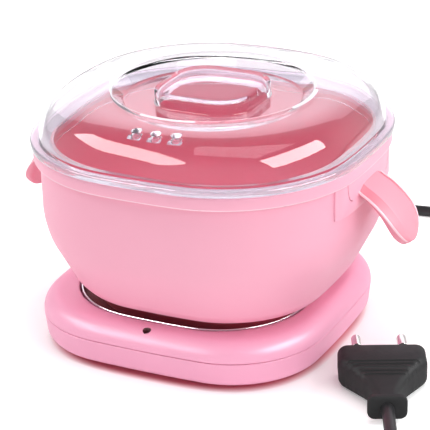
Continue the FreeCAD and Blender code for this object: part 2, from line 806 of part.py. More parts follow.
def coil_wire():
    """Half turns that step inwards, climb a layer in the half turn that reverses, and step out again."""
    step = cord_radius + coil_gap / 2
    climb = 2 * step
    radii = [coil_outer_radius - i * step for i in range(coil_half_turns_in + 1)]
    radii += [radii[-1] + (i + 1) * step for i in range(coil_half_turns_out)]
    here = coil_centre + V(coil_outer_radius, 0, 0)
    edges = [Part.makeLine(here + V(0, 2 * cord_radius, 0), here)]
    for i, radius in enumerate(radii):
        side = 1 if i % 2 else -1
        rise = climb if i == coil_half_turns_in else 0
        far = here + V(2 * radius * side, 0, rise)
        middle = (here + far) / 2 + V(0, radius * side, 0)
        edges.append(Part.Arc(here, middle, far).toShape())
        here = far
    edges.append(Part.makeLine(here, here - V(0, 2 * cord_radius, 0)))
    return Part.Wire(edges)


def least_self_gap(wire):
    """Smallest clear space between stretches of the coil that aren't neighbours along it."""
    points = wire.discretize(Distance=cord_radius)
    apart = 6
    spans = []
    for i in range(len(points) - apart):
        spans.append(min((points[i] - other).Length for other in points[i + apart:]))
    return min(spans) - 2 * cord_radius


def coil_tie():
    """Flat band round the bundle of turns on the coil's far side."""
    step = cord_radius + coil_gap / 2
    inner_turn = coil_outer_radius - (coil_half_turns_in - 1) * step
    near = math.sqrt(inner_turn ** 2 - (tie_width / 2 + step) ** 2) - cord_radius - tie_slack
    far = coil_outer_radius - step + cord_radius + tie_slack
    low = coil_centre.z - cord_radius - slip
    high = coil_centre.z + 2 * step + cord_radius + tie_slack
    corner = V(coil_centre.x - tie_width / 2, coil_centre.y + near, low)
    window = Part.makeBox(tie_width, far - near, high - low, corner)
    outside = Part.makeBox(tie_width, far - near + 2 * tie_thick, high - low + 2 * tie_thick,
                           corner - V(0, tie_thick, tie_thick))
    return outside.cut(window)


def plug_section(width, thick, y):
    """Rectangle with well rounded corners, across the plug's axis."""
    r = plug_round * thick
    a = width / 2 - r
    b = thick / 2 - r
    edges = []
    for i, (sx, sz) in enumerate([(1, 1), (-1, 1), (-1, -1), (1, -1)]):
        points = []
        for t in (0, math.pi / 4, math.pi / 2):
            turn = i * math.pi / 2 + t
            points.append(V(sx * a + r * math.cos(turn), y, sz * b + r * math.sin(turn)))
        edges.append(Part.Arc(*points).toShape())
    joined = []
    for i, edge in enumerate(edges):
        following = edges[(i + 1) % 4]
        joined.append(edge)
        joined.append(Part.makeLine(edge.Vertexes[-1].Point, following.Vertexes[0].Point))
    return Part.Wire(joined)


def plug_sides():
    return [side * pin_spacing / 2 for side in (-1, 1)]


def pin_bar(radius, x, start, length):
    face = plug_collar_length + plug_length
    return Part.makeCylinder(radius, length, V(x, face + start, 0), V(0, 1, 0))


def plug_body():
    """Flat two-pin plug: full width at the face, drawn in to a neck and a collar where the cord enters."""
    collar = Part.Face(plug_section(plug_collar_width, plug_collar_thick, 0))
    collar = collar.extrude(V(0, plug_collar_length, 0))
    face = plug_collar_length + plug_length
    waist = face - plug_front_length
    taper = plug_length - plug_front_length
    levels = []
    for wide, thick, along in plug_profile:
        levels.append((plug_width * wide, plug_thick * thick, plug_collar_length + taper * along))
    levels.append((plug_width, plug_thick, face))
    body = Part.makeLoft([plug_section(*level) for level in levels], True, True)
    body = body.makeFillet(plug_face_round, [e for e in body.Edges if e.BoundBox.YMin > face - 1e-3])
    body = body.fuse(collar)
    cuts = [pin_bar(pin_shank_radius + screw_slip, x, -pin_embed, pin_embed) for x in plug_sides()]
    for i in range(grip_groove_count):
        y = waist - plug_front_length / 4 - i * grip_groove_pitch
        for side in (-1, 1):
            z = side * (plug_thick / 2 - grip_groove_depth + grip_groove_pitch)
            cuts.append(Part.makeBox(plug_width, grip_groove_width, 2 * grip_groove_pitch,
                                     V(-plug_width / 2, y, z - grip_groove_pitch)))
    return body.cut(cuts)


def plug_pins():
    pins = []
    for x in plug_sides():
        tip = pin_bar(pin_radius, x, sleeve_length + slip, pin_length - sleeve_length - slip)
        end = tip.BoundBox.YMax - 1e-3
        tip = tip.makeFillet(pin_radius / 2, [e for e in tip.Edges if e.BoundBox.YMin > end])
        pins.append(tip.fuse(pin_bar(pin_shank_radius, x, -pin_embed, pin_embed + sleeve_length + slip)))
    return pins


def plug_pin_sleeves():
    sleeves = []
    for x in plug_sides():
        bore = pin_bar(pin_shank_radius + screw_slip, x, 0, sleeve_length)
        sleeves.append(pin_bar(sleeve_radius, x, 0, sleeve_length).cut(bore))
    return sleeves


def laid_at_cord_end(shape):
    """Turn the plug to the cord's last run and set it at the cord's end."""
    heading = front_route[-1] - front_route[-2]
    turned = shape.copy()
    turned.rotate(V(0, 0, 0), V(0, 0, 1), math.degrees(math.atan2(-heading.x, heading.y)))
    turned.translate(front_route[-1])
    return turned


os.makedirs("parts", exist_ok=True)

save_in_base("base_cover", base_cover())
save_in_base("base_tray", base_tray())
save_in_base("rubber_feet", rubber_feet())
save_in_base("tray_screws", tray_screws())
save_in_base("heating_plate", heating_plate())
save_in_base("plate_gasket", plate_gasket())
save_in_base("plate_nuts", [hex_nut(x, y, ledge_under - nut_height) for x, y in corners(ear_x, ear_x)])
save_in_base("heater_disc", heater_disc())
save_in_base("heater_clamp", heater_clamp())
clamp_nut_foot = clamp_under - nut_height
save_in_base("clamp_nuts", [hex_nut(side * clamp_stud_half_spacing, 0, clamp_nut_foot) for side in (-1, 1)])
save_in_base("thermostat", thermostat())
save_in_base("thermal_fuse", thermal_fuse())
save_in_base("heat_shield", heat_shield())
save_in_base("led_board", block(led_board_size, 0, front_row, led_foot))
save_in_base("indicator_led", indicator_led())
save_in_base("terminal_block", block(block_size, block_x, back_row, tray_floor))
save_in_base("internal_wires", internal_wires())
save_in_base("strain_relief", strain_relief())
save_in_base("cord_tail", relief_cylinder(cord_radius, back_row - cord_tail_reach, relief_tip))
save_in_base("cord_clamp", cord_clamp())
save_in_base("clamp_screws", clamp_screws())

save("pot_heat_plate", pot_heat_plate())
save("pot_foot", pot_foot())
save("pot_fold_band", pot_loft(fold_levels, 0).cut(pot_loft(fold_levels, fold_wall)))
save("pot_wall", pot_loft(wall_levels, 0).cut(pot_loft(wall_levels, upper_wall)))
save("pot_rim", pot_rim())
save("right_handle", right_handle())
save("left_handle", right_handle().mirror(V(0, 0, 0), V(1, 0, 0)))
save("lid", lid())

save("cord_rear_run", tube("rear run", route_wire("rear run", rear_route), cord_radius))
save("cord_front_run", tube("front run", route_wire("front run", front_route), cord_radius))
coil = coil_wire()
print("coil least gap to itself", round(least_self_gap(coil), 2))
save("cord_coil", tube("coil", coil, cord_radius))
save("coil_tie", coil_tie())
save("plug_body", laid_at_cord_end(plug_body()))
save("plug_pins", [laid_at_cord_end(pin) for pin in plug_pins()])
save("plug_pin_sleeves", [laid_at_cord_end(sleeve) for sleeve in plug_pin_sleeves()])
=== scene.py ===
import math
import bmesh
import bpy
import numpy
from mathutils import Matrix, Vector


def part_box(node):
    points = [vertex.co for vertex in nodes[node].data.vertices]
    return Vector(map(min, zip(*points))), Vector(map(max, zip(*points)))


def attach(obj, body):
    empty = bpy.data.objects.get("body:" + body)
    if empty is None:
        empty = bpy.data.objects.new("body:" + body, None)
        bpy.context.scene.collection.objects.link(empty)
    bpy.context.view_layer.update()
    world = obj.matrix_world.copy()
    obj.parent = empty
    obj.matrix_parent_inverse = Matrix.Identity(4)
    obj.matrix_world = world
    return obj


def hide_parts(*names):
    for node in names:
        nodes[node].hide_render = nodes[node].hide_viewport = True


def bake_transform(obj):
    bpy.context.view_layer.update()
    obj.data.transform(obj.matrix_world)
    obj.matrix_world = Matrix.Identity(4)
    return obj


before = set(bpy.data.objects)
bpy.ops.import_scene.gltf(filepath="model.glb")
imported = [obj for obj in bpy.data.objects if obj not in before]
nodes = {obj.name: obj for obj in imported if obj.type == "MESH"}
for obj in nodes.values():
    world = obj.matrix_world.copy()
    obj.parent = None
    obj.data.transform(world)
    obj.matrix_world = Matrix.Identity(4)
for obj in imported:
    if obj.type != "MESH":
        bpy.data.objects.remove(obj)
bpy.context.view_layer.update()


# Lower shell of the base: a pink injection-moulded tray with a drafted wall and a rounded bottom edge.
# Feet are glued in its round recesses, screws go up through its four wells into the cover, and a
# round hole at the back takes the cord's boot.
MM = 0.001
base_middle = -4.0
base_outline = (62.6, 39.2, 520.0)
tray_bottom, tray_floor, tray_rim, shell_wall = 2.5, 4.5, 13.05, 2.0
feet_spacing, feet_radius, feet_recess = 70.0, 6.0, 0.4
screw_columns, screw_rows, screw_well, screw_recess = 112.2, 40.0, 2.5, 1.4
boot_bore, boot_bore_y, cord_height = 3.4, 61.6, 8.4


def arcs_of(half, corner, bow):
    """Middles of a bowed square's side and corner arcs, and the angle where they meet."""
    side = half - bow
    middle = (side + math.sqrt(2 * (bow - corner) ** 2 - side * side)) / 2
    return side, middle, math.atan2(middle, middle - side)


def squared_outline(half, corner, bow):
    """Points round a square with bowed sides and round corners."""
    side, middle, turn = arcs_of(half, corner, bow)
    side_steps, corner_steps = 12, 20
    quarter = []
    for i in range(side_steps):
        t = turn * (2 * i / side_steps - 1)
        quarter.append((side + bow * math.cos(t), bow * math.sin(t)))
    for i in range(corner_steps):
        t = turn + (math.pi / 2 - 2 * turn) * i / corner_steps
        quarter.append((middle + corner * math.cos(t), middle + corner * math.sin(t)))
    points = []
    for x0, y0 in ((1, 0), (0, 1), (-1, 0), (0, -1)):
        points += [(x * x0 - y * y0, x * y0 + y * x0) for x, y in quarter]
    return points


def rounded(corners, steps=6, closed=False):
    """Polyline with its corners rounded; entries are (across, height, radius)."""
    line = []
    count = len(corners)
    for i, (across, height, radius) in enumerate(corners):
        here = Vector((across, height))
        ended = not closed and i in (0, count - 1)
        if not radius or ended:
            line.append(here)
            continue
        back = (Vector(corners[i - 1][:2]) - here).normalized()
        ahead = (Vector(corners[(i + 1) % count][:2]) - here).normalized()
        half = back.angle(ahead) / 2
        centre = here + (back + ahead).normalized() * (radius / math.sin(half))
        start = here + back * (radius / math.tan(half)) - centre
        end = here + ahead * (radius / math.tan(half)) - centre
        sweep = start.angle(end)
        for s in range(steps + 1):
            t = s / steps
            arm = start * math.sin((1 - t) * sweep) + end * math.sin(t * sweep)
            line.append(centre + arm / math.sin(sweep))
    return line


def inset_levels(outline, corners, steps=6, closed=False):
    """Outlines pulled in by a rounded profile of (inset, height, radius)."""
    half, corner, bow = outline
    return [(half - p.x, corner - p.x, bow - p.x, p.y) for p in rounded(corners, steps, closed)]


def in_scene(name, data):
    """New object of some data, put in the scene."""
    thing = bpy.data.objects.new(name, data)
    bpy.context.scene.collection.objects.link(thing)
    return thing


def finished(name, mesh, crease=40.0):
    """Object of a bmesh, smooth but for edges sharper than the crease angle."""
    bmesh.ops.recalc_face_normals(mesh, faces=mesh.faces)
    if mesh.calc_volume(signed=True) < 0:
        bmesh.ops.reverse_faces(mesh, faces=mesh.faces)
    data = bpy.data.meshes.new(name)
    mesh.to_mesh(data)
    mesh.free()
    data.shade_smooth()
    data.set_sharp_from_angle(angle=math.radians(crease))
    return in_scene(name, data)


def ringed(name, rings, closed=False, crease=40.0):
    """Skin through rings of points in millimetres, with its ends capped or joined."""
    mesh = bmesh.new()
    rings = [[mesh.verts.new([v * MM for v in point]) for point in ring] for ring in rings]
    for low, high in zip(rings, rings[1:] + (rings[:1] if closed else [])):
        for i in range(len(low)):
            j = (i + 1) % len(low)
            mesh.faces.new((low[i], low[j], high[j], high[i]))
    if not closed:
        mesh.faces.new(rings[0][::-1])
        mesh.faces.new(rings[-1])
    return finished(name, mesh, crease)


def squared_skin(name, levels, middle=0.0, closed=False, crease=40.0):
    """Skin through squared outlines; levels are (half width, corner, bow, height)."""
    return ringed(name, [[(x + middle, y, z) for x, y in squared_outline(half, corner, bow)]
                         for half, corner, bow, z in levels], closed, crease)


def turned(name, profile, segments=48, crease=40.0):
    """Solid turned about Z from (radius, height) pairs, capped at both ends."""
    turns = [2 * math.pi * i / segments for i in range(segments)]
    return ringed(name, [[(radius * math.cos(a), radius * math.sin(a), z) for a in turns]
                         for radius, z in profile], crease=crease)


def placed(piece, matrix):
    """Move a piece's mesh, not its object."""
    piece.data.transform(matrix)
    return piece


def at(x, y, z=0.0):
    """Shift to a place."""
    return Matrix.Translation(Vector((x, y, z)) * MM)


def plain_mesh(piece):
    """Turn what the modifiers make into the piece's own mesh."""
    bpy.context.view_layer.update()
    seen = piece.evaluated_get(bpy.context.evaluated_depsgraph_get())
    data = bpy.data.meshes.new_from_object(seen)
    piece.modifiers.clear()
    piece.data = data


def cut_out(piece, cutter, crease=35.0):
    """Cut one mesh out of another and drop the cutter."""
    cut = piece.modifiers.new("cut", "BOOLEAN")
    cut.object = cutter
    cut.solver = "EXACT"
    plain_mesh(piece)
    bpy.data.objects.remove(cutter)
    piece.data.set_sharp_from_angle(angle=math.radians(crease))


def feed(tree, node, inputs):
    """Set a node's inputs: plain values, sockets, or nodes for their first output."""
    for name, value in inputs.items():
        if isinstance(value, bpy.types.Node):
            value = value.outputs[0]
        if isinstance(value, bpy.types.NodeSocket):
            tree.links.new(value, node.inputs[name])
        else:
            node.inputs[name].default_value = value
    return node


def wired(tree, kind, inputs, **settings):
    """New node with its settings and what feeds it."""
    node = tree.nodes.new(kind)
    for name, value in settings.items():
        setattr(node, name, value)
    return feed(tree, node, inputs)


def set_shader(material, inputs):
    """Feed a material's shader."""
    feed(material.node_tree, material.node_tree.nodes["Principled BSDF"], inputs)


def new_group(name, kind, inputs, outputs):
    """Node group and what its inputs give; sockets are (name, sort) or (name, sort, value)."""
    group = bpy.data.node_groups.new(name, kind)
    for way, sockets in (("INPUT", inputs), ("OUTPUT", outputs)):
        for socket, sort, *value in sockets:
            made = group.interface.new_socket(socket, in_out=way, socket_type="NodeSocket" + sort)
            if value:
                made.default_value = value[0]
    return group, group.nodes.new("NodeGroupInput").outputs


# Shared surface of moulded pieces: slow colour drift, faint scuffs and fine grain.
moulded_surface, scales = new_group("moulded_surface", "ShaderNodeTree", (
    ("Drift Scale", "Float", 14.0), ("Grain Scale", "Float", 900.0), ("Scuff Scale", "Float", 120.0)),
    (("Drift", "Float"), ("Scuff", "Float"), ("Height", "Float")))
place = moulded_surface.nodes.new("ShaderNodeTexCoord").outputs["Object"]
noises = {}
for name, scale, detail, rough in (("Drift", "Drift Scale", 3.0, 0.5), ("Scuff", "Scuff Scale", 6.0, 0.7),
                                   ("Height", "Grain Scale", 2.0, 0.5)):
    noises[name] = wired(moulded_surface, "ShaderNodeTexNoise", {
        "Vector": place, "Scale": scales[scale], "Detail": detail, "Roughness": rough})
wired(moulded_surface, "NodeGroupOutput", noises)


def surfaced(name, group, values, picked, colour, shade, gloss, relief):
    """Material whose tone, gloss and relief each come from an output picked from a shader group."""
    material = bpy.data.materials.new(name)
    material.use_nodes = True
    tree = material.node_tree
    surface = wired(tree, "ShaderNodeGroup", values, node_tree=group).outputs
    tone, scuff, height = (surface[output] for output in picked)
    tones = wired(tree, "ShaderNodeMix", {0: tone, 6: (*shade, 1), 7: (*colour, 1)}, data_type="RGBA")
    shine = wired(tree, "ShaderNodeMapRange", {"Value": scuff, **gloss})
    bumps = wired(tree, "ShaderNodeBump", {"Height": height, **relief})
    set_shader(material, {"Base Color": tones.outputs[2], "Roughness": shine, "Normal": bumps})
    return material


def moulded(name, colour, shade, roughness, grain=900.0, bump=0.02, drift=14.0):
    """Moulded plastic or rubber: two near colours that drift, uneven gloss and a fine grain."""
    gloss = {"From Min": 0.3, "From Max": 0.7, "To Min": roughness * 0.88, "To Max": roughness * 1.12}
    return surfaced(name, moulded_surface, {"Grain Scale": grain, "Drift Scale": drift},
                    ("Drift", "Scuff", "Height"), colour, shade, gloss,
                    {"Strength": bump * 10, "Distance": 0.0001})


def dressed(piece, material, body, slot, *replaced):
    """Give a piece its finish, body and the nodes it stands for; the record slot is not used."""
    piece.data.materials.clear()
    piece.data.materials.append(material)
    if body:
        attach(piece, body)
    if replaced:
        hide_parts(*replaced)
    return piece


shell_pink = moulded("shell_pink", (0.95, 0.425, 0.6), (0.935, 0.405, 0.58), 0.38)
tray_shell = squared_skin("tray_shell", inset_levels(base_outline, [
    (14, tray_bottom, 0), (1.2, tray_bottom, 3.2), (0, tray_rim, 0.3), (shell_wall, tray_rim, 0.15),
    (shell_wall, tray_floor, 1), (14, tray_floor, 0)]), base_middle)
for sx in (-1, 1):
    for sy in (-1, 1):
        for columns, rows, radius, depth in ((feet_spacing, feet_spacing, feet_radius + 0.1, feet_recess),
                                             (screw_columns, screw_rows, screw_well, screw_recess)):
            pocket = turned("pocket", [(radius, -1), (radius, tray_bottom + depth)])
            placed(pocket, at(base_middle + sx * columns / 2, sy * rows / 2))
            cut_out(tray_shell, pocket)
boot_hole = turned("boot_hole", [(boot_bore, -6), (boot_bore, 6)])
placed(boot_hole, at(base_middle, boot_bore_y, cord_height) @ Matrix.Rotation(math.pi / 2, 4, "X"))
cut_out(tray_shell, boot_hole)
dressed(tray_shell, shell_pink, "base", "base_shell", "base_tray")


# Four soft rubber feet, each a low puck with a rounded rim, moulded in black rubber
# and glued into the tray's recesses.
set_out, given = new_group("set_out_in_rows", "GeometryNodeTree", (
    ("Geometry", "Geometry"), ("Columns", "Int"), ("Rows", "Int"), ("First Place", "Vector"),
    ("Column Step", "Vector"), ("Row Step", "Vector"), ("Finish", "Material")), (("Geometry", "Geometry"),))
lay, real = "GeometryNodeInstanceOnPoints", "GeometryNodeRealizeInstances"
columns = wired(set_out, "GeometryNodeMeshLine", {
    "Count": given["Columns"], "Start Location": given["First Place"], "Offset": given["Column Step"]})
rows = wired(set_out, "GeometryNodeMeshLine", {"Count": given["Rows"], "Offset": given["Row Step"]})
places = wired(set_out, real, {"Geometry": wired(set_out, lay, {"Points": columns, "Instance": rows})})
laid = wired(set_out, lay, {"Points": places, "Instance": given["Geometry"]})
finish = wired(set_out, "GeometryNodeSetMaterial", {
    "Geometry": wired(set_out, real, {"Geometry": laid}), "Material": given["Finish"]})
wired(set_out, "NodeGroupOutput", {"Geometry": finish})


def in_rows(piece, columns, rows, middle, column_step, row_step, material):
    """Set a piece out in rows about a middle on X and make the result plain."""
    first = (middle - column_step * (columns - 1) / 2, -row_step * (rows - 1) / 2, 0)
    values = {"Columns": columns, "Rows": rows, "First Place": Vector(first) * MM, "Finish": material,
              "Column Step": Vector((column_step, 0, 0)) * MM, "Row Step": Vector((0, row_step, 0)) * MM}
    rows_of = piece.modifiers.new("rows", "NODES")
    rows_of.node_group = set_out
    for name, value in values.items():
        rows_of[set_out.interface.items_tree[name].identifier] = value
    plain_mesh(piece)


feet_rubber = moulded("feet_rubber", (0.05, 0.05, 0.052), (0.035, 0.035, 0.037), 0.75, bump=0.05)
feet_top = tray_bottom + 0.35
foot_pads = turned("foot_pads", rounded([
    (0.5, 0, 0), (feet_radius, 0, 0.6), (feet_radius, feet_top, 0.1), (0.5, feet_top, 0)]))
in_rows(foot_pads, 2, 2, base_middle, feet_spacing, feet_spacing, feet_rubber)
dressed(foot_pads, feet_rubber, "base", "feet_rubber", "rubber_feet")


# Zinc-plated pan-head screws with a cross recess, sunk in wells under the tray.
# They run up into the cover's posts and hold the two shells together.
worked_metal, given = new_group("worked_metal", "ShaderNodeTree", (("Stretch", "Vector", (90, 90, 2500)),),
                                (("Scratch", "Float"), ("Tarnish", "Float")))
place = worked_metal.nodes.new("ShaderNodeTexCoord").outputs["Object"]
along = wired(worked_metal, "ShaderNodeMapping", {"Vector": place, "Scale": given["Stretch"]})
scratch = wired(worked_metal, "ShaderNodeTexNoise", {"Vector": along, "Scale": 1.0, "Detail": 4.0})
tarnish = wired(worked_metal, "ShaderNodeTexNoise", {"Vector": place, "Scale": 60.0})
wired(worked_metal, "NodeGroupOutput", {"Scratch": scratch, "Tarnish": tarnish})


def metal(name, colour, shade, roughness, stretch=(90, 90, 2500), bump=0.1):
    """Metal with drawn scratches in its gloss and relief and a slow change of tone."""
    gloss = {"To Min": roughness * 0.7, "To Max": roughness * 1.3}
    material = surfaced(name, worked_metal, {"Stretch": stretch}, ("Tarnish", "Scratch", "Scratch"),
                        colour, shade, gloss, {"Strength": bump, "Distance": 0.00005})
    set_shader(material, {"Metallic": 1.0})
    return material


zinc_steel = metal("zinc_steel", (0.62, 0.62, 0.64), (0.5, 0.5, 0.53), 0.35)
head_face, head_back, head_radius, shank_radius = 2.9, 3.9, 2.4, 1.2
cross_length, cross_width, cross_depth = 2.8, 0.6, 1.2
shell_screws = turned("shell_screws", rounded([
    (0.3, head_face, 0), (head_radius, head_face, 0.4), (head_radius, head_back, 0.1),
    (shank_radius, head_back, 0), (shank_radius, 12.2, 0), (0.3, 12.5, 0)], 4), 32)
for quarter in range(2):
    recess = bmesh.new()
    bmesh.ops.create_cube(recess, size=1.0)
    deeper = 0.1 * quarter
    bar = placed(finished("recess", recess), at(0, 0, head_face) @ Matrix.Rotation(quarter * math.pi / 2, 4, "Z")
                 @ Matrix.Diagonal((cross_length * MM, cross_width * MM, (cross_depth + deeper) * MM, 1)))
    cut_out(shell_screws, bar)
in_rows(shell_screws, 2, 2, base_middle, screw_columns, screw_rows, zinc_steel)
dressed(shell_screws, zinc_steel, "base", "steel_fasteners", "tray_screws")


# Works inside the base: mica heater clamped under the plate, bimetal switch and fuse, light board,
# terminal block and leads, cord clamp. They stay as built, each with the finish of the real part.
black_phenolic = moulded("black_phenolic", (0.03, 0.03, 0.032), (0.02, 0.02, 0.022), 0.5)
cord_sheath = moulded("cord_sheath", (0.016, 0.016, 0.018), (0.011, 0.011, 0.012), 0.42, grain=700)
for finish, *node_names in (
        (zinc_steel, "plate_nuts", "clamp_nuts", "clamp_screws"),
        (moulded("mica", (0.36, 0.3, 0.2), (0.22, 0.18, 0.12), 0.6, drift=60), "heater_disc"),
        (metal("sheet_steel", (0.6, 0.6, 0.62), (0.45, 0.45, 0.47), 0.4, (2000, 60, 60)),
         "heater_clamp", "heat_shield"),
        (black_phenolic, "thermostat", "cord_clamp"),
        (moulded("white_nylon", (0.78, 0.76, 0.7), (0.7, 0.68, 0.62), 0.5), "terminal_block"),
        (moulded("lead_sheath", (0.62, 0.6, 0.56), (0.5, 0.48, 0.45), 0.55), "internal_wires"),
        (metal("plated_brass", (0.7, 0.55, 0.3), (0.55, 0.42, 0.22), 0.3), "thermal_fuse"),
        (moulded("green_board", (0.02, 0.13, 0.05), (0.015, 0.09, 0.035), 0.35, drift=200), "led_board"),
        (moulded("gasket_rubber", (0.02, 0.02, 0.02), (0.014, 0.014, 0.014), 0.7), "plate_gasket"),
        (cord_sheath, "cord_tail")):
    for node_name in node_names:
        nodes[node_name].data.materials.clear()
        nodes[node_name].data.materials.append(finish)


# Upper shell of the base: the same pink plastic, rolled over in a wide shoulder to a well for the dish.
# A small round hole in the front of the shoulder shows the indicator; the wall of the hole is painted dark red as
# painted shade.
cover_foot, cover_top, cover_under = 13.35, 20.9, 18.9
well_outline = (50.7, 37.3, 287.0)
ledge_top, ledge_under, ledge_width = 15.6, 14.0, 4.4
light_y, light_bore, light_reach = -57.9, 1.45, 1.75


def painted(piece, material, chosen):
    """One more finish, on the faces that a test of face and height in millimetres picks."""
    piece.data.materials.append(material)
    for face in piece.data.polygons:
        if chosen(face, face.center.z / MM):
            face.material_index = len(piece.data.materials) - 1


def outward(face, axis=Vector((0, 0))):
    """How much a face looks away from an upright axis; below nought, towards it."""
    return face.normal.xy.dot(face.center.xy - axis)


def in_bore(face, axis, reach):
    """True on the wall of an upright hole, up to a reach from its axis."""
    return (face.center.xy - axis).length < reach * MM and outward(face, axis) < -2e-4


shoulder = inset_levels(base_outline, [
    (shell_wall, cover_foot, 0), (0, cover_foot, 0.25), (0, cover_top, 7.2), (9, cover_top, 0)], 10)
well = inset_levels(well_outline, [
    (-1.8, cover_top, 0), (0, cover_top, 0.7), (0, ledge_top, 0.3), (ledge_width, ledge_top, 0.1),
    (ledge_width, ledge_under, 0.1), (-shell_wall, ledge_under, 0.2), (-shell_wall, cover_under, 0)], 5)
under = inset_levels(base_outline, [
    (9.9, cover_under, 0), (shell_wall, cover_under, 5.3), (shell_wall, cover_foot + 0.01, 0)], 8)
cover_shell = squared_skin("cover_shell", shoulder + well + under[1:-1], base_middle, closed=True)
light_hole = turned("light_hole", [(light_bore, 10), (light_bore, 18.6), (light_bore, 19.9), (2.1, 21.1)], 32)
cut_out(cover_shell, placed(light_hole, at(base_middle, light_y)))
dressed(cover_shell, shell_pink, "base", "base_shell", "base_cover")
# Painted shade: the wall of the indicator hole is coloured dark red for the shade down in it.
hole_painted_shade = moulded("hole_painted_shade", (0.09, 0.008, 0.012), (0.07, 0.006, 0.01), 0.4)
light_axis = Vector((base_middle, light_y)) * MM
painted(cover_shell, hole_painted_shade, lambda face, z: in_bore(face, light_axis, light_reach))


# Indicator: a small red light with a round tip and a foot ring, cast in clear red resin.
# It stands on its board, just under the hole in the shoulder.
red_lens = moulded("red_lens", (0.06, 0.004, 0.006), (0.04, 0.003, 0.004), 0.2)
lens_foot, lens_neck, lens_radius, ring_radius, lens_steps = 10.2, 15.1, 1.5, 1.9, 8
ring_top = lens_foot + 1.0
lens_profile = [(ring_radius, lens_foot), (ring_radius, ring_top), (lens_radius, ring_top)]
for step in range(lens_steps + 1):
    a = step / lens_steps * math.pi / 2
    lens_profile.append((lens_radius * math.cos(a) + 0.02, lens_neck + lens_radius * math.sin(a)))
indicator = placed(turned("indicator_lens", lens_profile, 32), at(base_middle, light_y))
dressed(indicator, red_lens, "base", "led_red", "indicator_led")


# Heating dish: pressed aluminium with an upturned bright edge, sunk in the well a hair below the pot.
# Its edge is the silver line round the pot's foot; inside it has a deep red coat, made darker as painted shade of
# the gap under the pot.
dish_outline = (49.9, 36.5, 287.0)
dish_under, dish_inside, dish_edge, dish_wall = 16.4, 17.4, 21.0, 0.8
coat_shade_low, coat_shade_high = 17.3, 20.4
bright_aluminium = metal("bright_aluminium", (0.86, 0.86, 0.88), (0.78, 0.78, 0.8), 0.16, (60, 60, 1600), 0.05)
heating_dish = squared_skin("heating_dish", inset_levels(dish_outline, [
    (12, dish_under, 0), (0, dish_under, 1.0), (0, dish_edge, 0.38), (dish_wall, dish_edge, 0.38),
    (dish_wall, dish_inside, 1.2), (12, dish_inside, 0)]), base_middle)
dressed(heating_dish, bright_aluminium, "base", "plate_aluminium", "heating_plate")
# Dish's inner faces: partly a real dark coat, partly painted shade of the gap round the pot's foot.
dish_coat_and_shade = moulded("dish_coat_and_shade", (0.2, 0.02, 0.03), (0.15, 0.015, 0.022), 0.55)
dish_axis = Vector((base_middle, 0)) * MM
painted(heating_dish, dish_coat_and_shade, lambda face, z: coat_shade_low < z < coat_shade_high and outward(face, dish_axis) < 1e-4)


# Boot where the cord leaves the tray: black rubber, tapered and ringed with bend grooves.
# It is moulded on the cord and clips into the tray's hole by a groove at its root.
relief_root, relief_tip = 62.7, 86.3
boot_profile = [(2.6, 58.1), (3.8, 58.1), (3.8, 60.5), (3.3, 60.6), (3.3, relief_root), (4.1, relief_root + 0.1),
                (4.1, relief_root + 2.6)]
groove_start, groove_pitch, groove_count, groove_depth = relief_root + 4.4, 2.6, 7, 0.55
taper_start, taper_run, taper_wide, taper_loss = relief_root + 2.6, 21.0, 4.05, 0.95
for i in range(groove_count):
    y = groove_start + i * groove_pitch
    taper = taper_wide - (y - taper_start) / taper_run * taper_loss
    boot_profile += [(taper, y), (taper - groove_depth, y + 0.3), (taper - groove_depth, y + 0.9),
                     (taper - 0.06, y + 1.2)]
boot_profile += [(3.1, relief_tip - 0.4), (2.8, relief_tip), (2.52, relief_tip)]
boot = turned("cord_boot", boot_profile, 40, 30.0)
placed(boot, at(base_middle, 0, cord_height) @ Matrix.Rotation(-math.pi / 2, 4, "X"))
boot_rubber = moulded("boot_rubber", (0.018, 0.018, 0.02), (0.012, 0.012, 0.013), 0.5)
dressed(boot, boot_rubber, "base", "cord_rubber", "strain_relief")


# Mains cord: a black round twin lead, put away in a flat coil beside the warmer.
# It leaves the boot straight, drops to the floor, winds two layers and runs on to the plug.
cord_diameter, lies = 5.0, 2.6
coil_centre, coil_radius, coil_gap = Vector((131.4, 50.0, 3.4)), 33.4, 0.6
coil_entry = coil_centre + Vector((coil_radius, cord_diameter, 0))
coil_leave = coil_centre + Vector((coil_radius, -cord_diameter, cord_diameter + coil_gap))
rear_route = [
    (base_middle, relief_tip, cord_height), (base_middle, relief_tip + 13, cord_height), (-0.2, 116.5, 4.2),
    (10.5, 130, lies), (31, 138, lies), (54, 141.5, lies), (80, 140.3, lies), (106, 133, lies), (130, 121, lies),
    (149.5, 105, lies), (161.3, 88, 2.9), coil_entry + Vector((0, 15.5, 0)), coil_entry]
front_route = [
    coil_leave, coil_leave - Vector((0, 14, 0)), (165.4, 9, 4.4), (164.6, -17, lies), (165.4, -44, lies),
    (164.8, -72.6, lies), (151.7, -88.9, lies), (131, -93.6, lies), (112, -85.2, 4.6), (103.2, -66.7, 6.9),
    (98.9, -57.2, 6.9)]
coil_step = (cord_diameter + coil_gap) / 2
half_turns, half_turn_points = 8, 8
coil_points = []
here = coil_centre + Vector((coil_radius, 0, 0))
for i in range(half_turns):
    radius = coil_radius - coil_step * min(i, half_turns - i)
    side = 1 if i % 2 else -1
    climb = 2 * coil_step if i == half_turns // 2 else 0
    middle = here + Vector((radius * side, 0, 0))
    reach = radius / math.cos(math.pi / half_turn_points / 2)
    for p in range(half_turn_points):
        t = (p + 0.5) / half_turn_points
        coil_points.append(middle + Vector((-side * reach * math.cos(t * math.pi),
                                            side * reach * math.sin(t * math.pi), climb * t)))
    here = here + Vector((2 * radius * side, 0, climb))
route = [Vector(p) for p in rear_route] + coil_points + [Vector(p) for p in front_route]
cord_line = bpy.data.curves.new("mains_cord", "CURVE")
cord_line.dimensions = "3D"
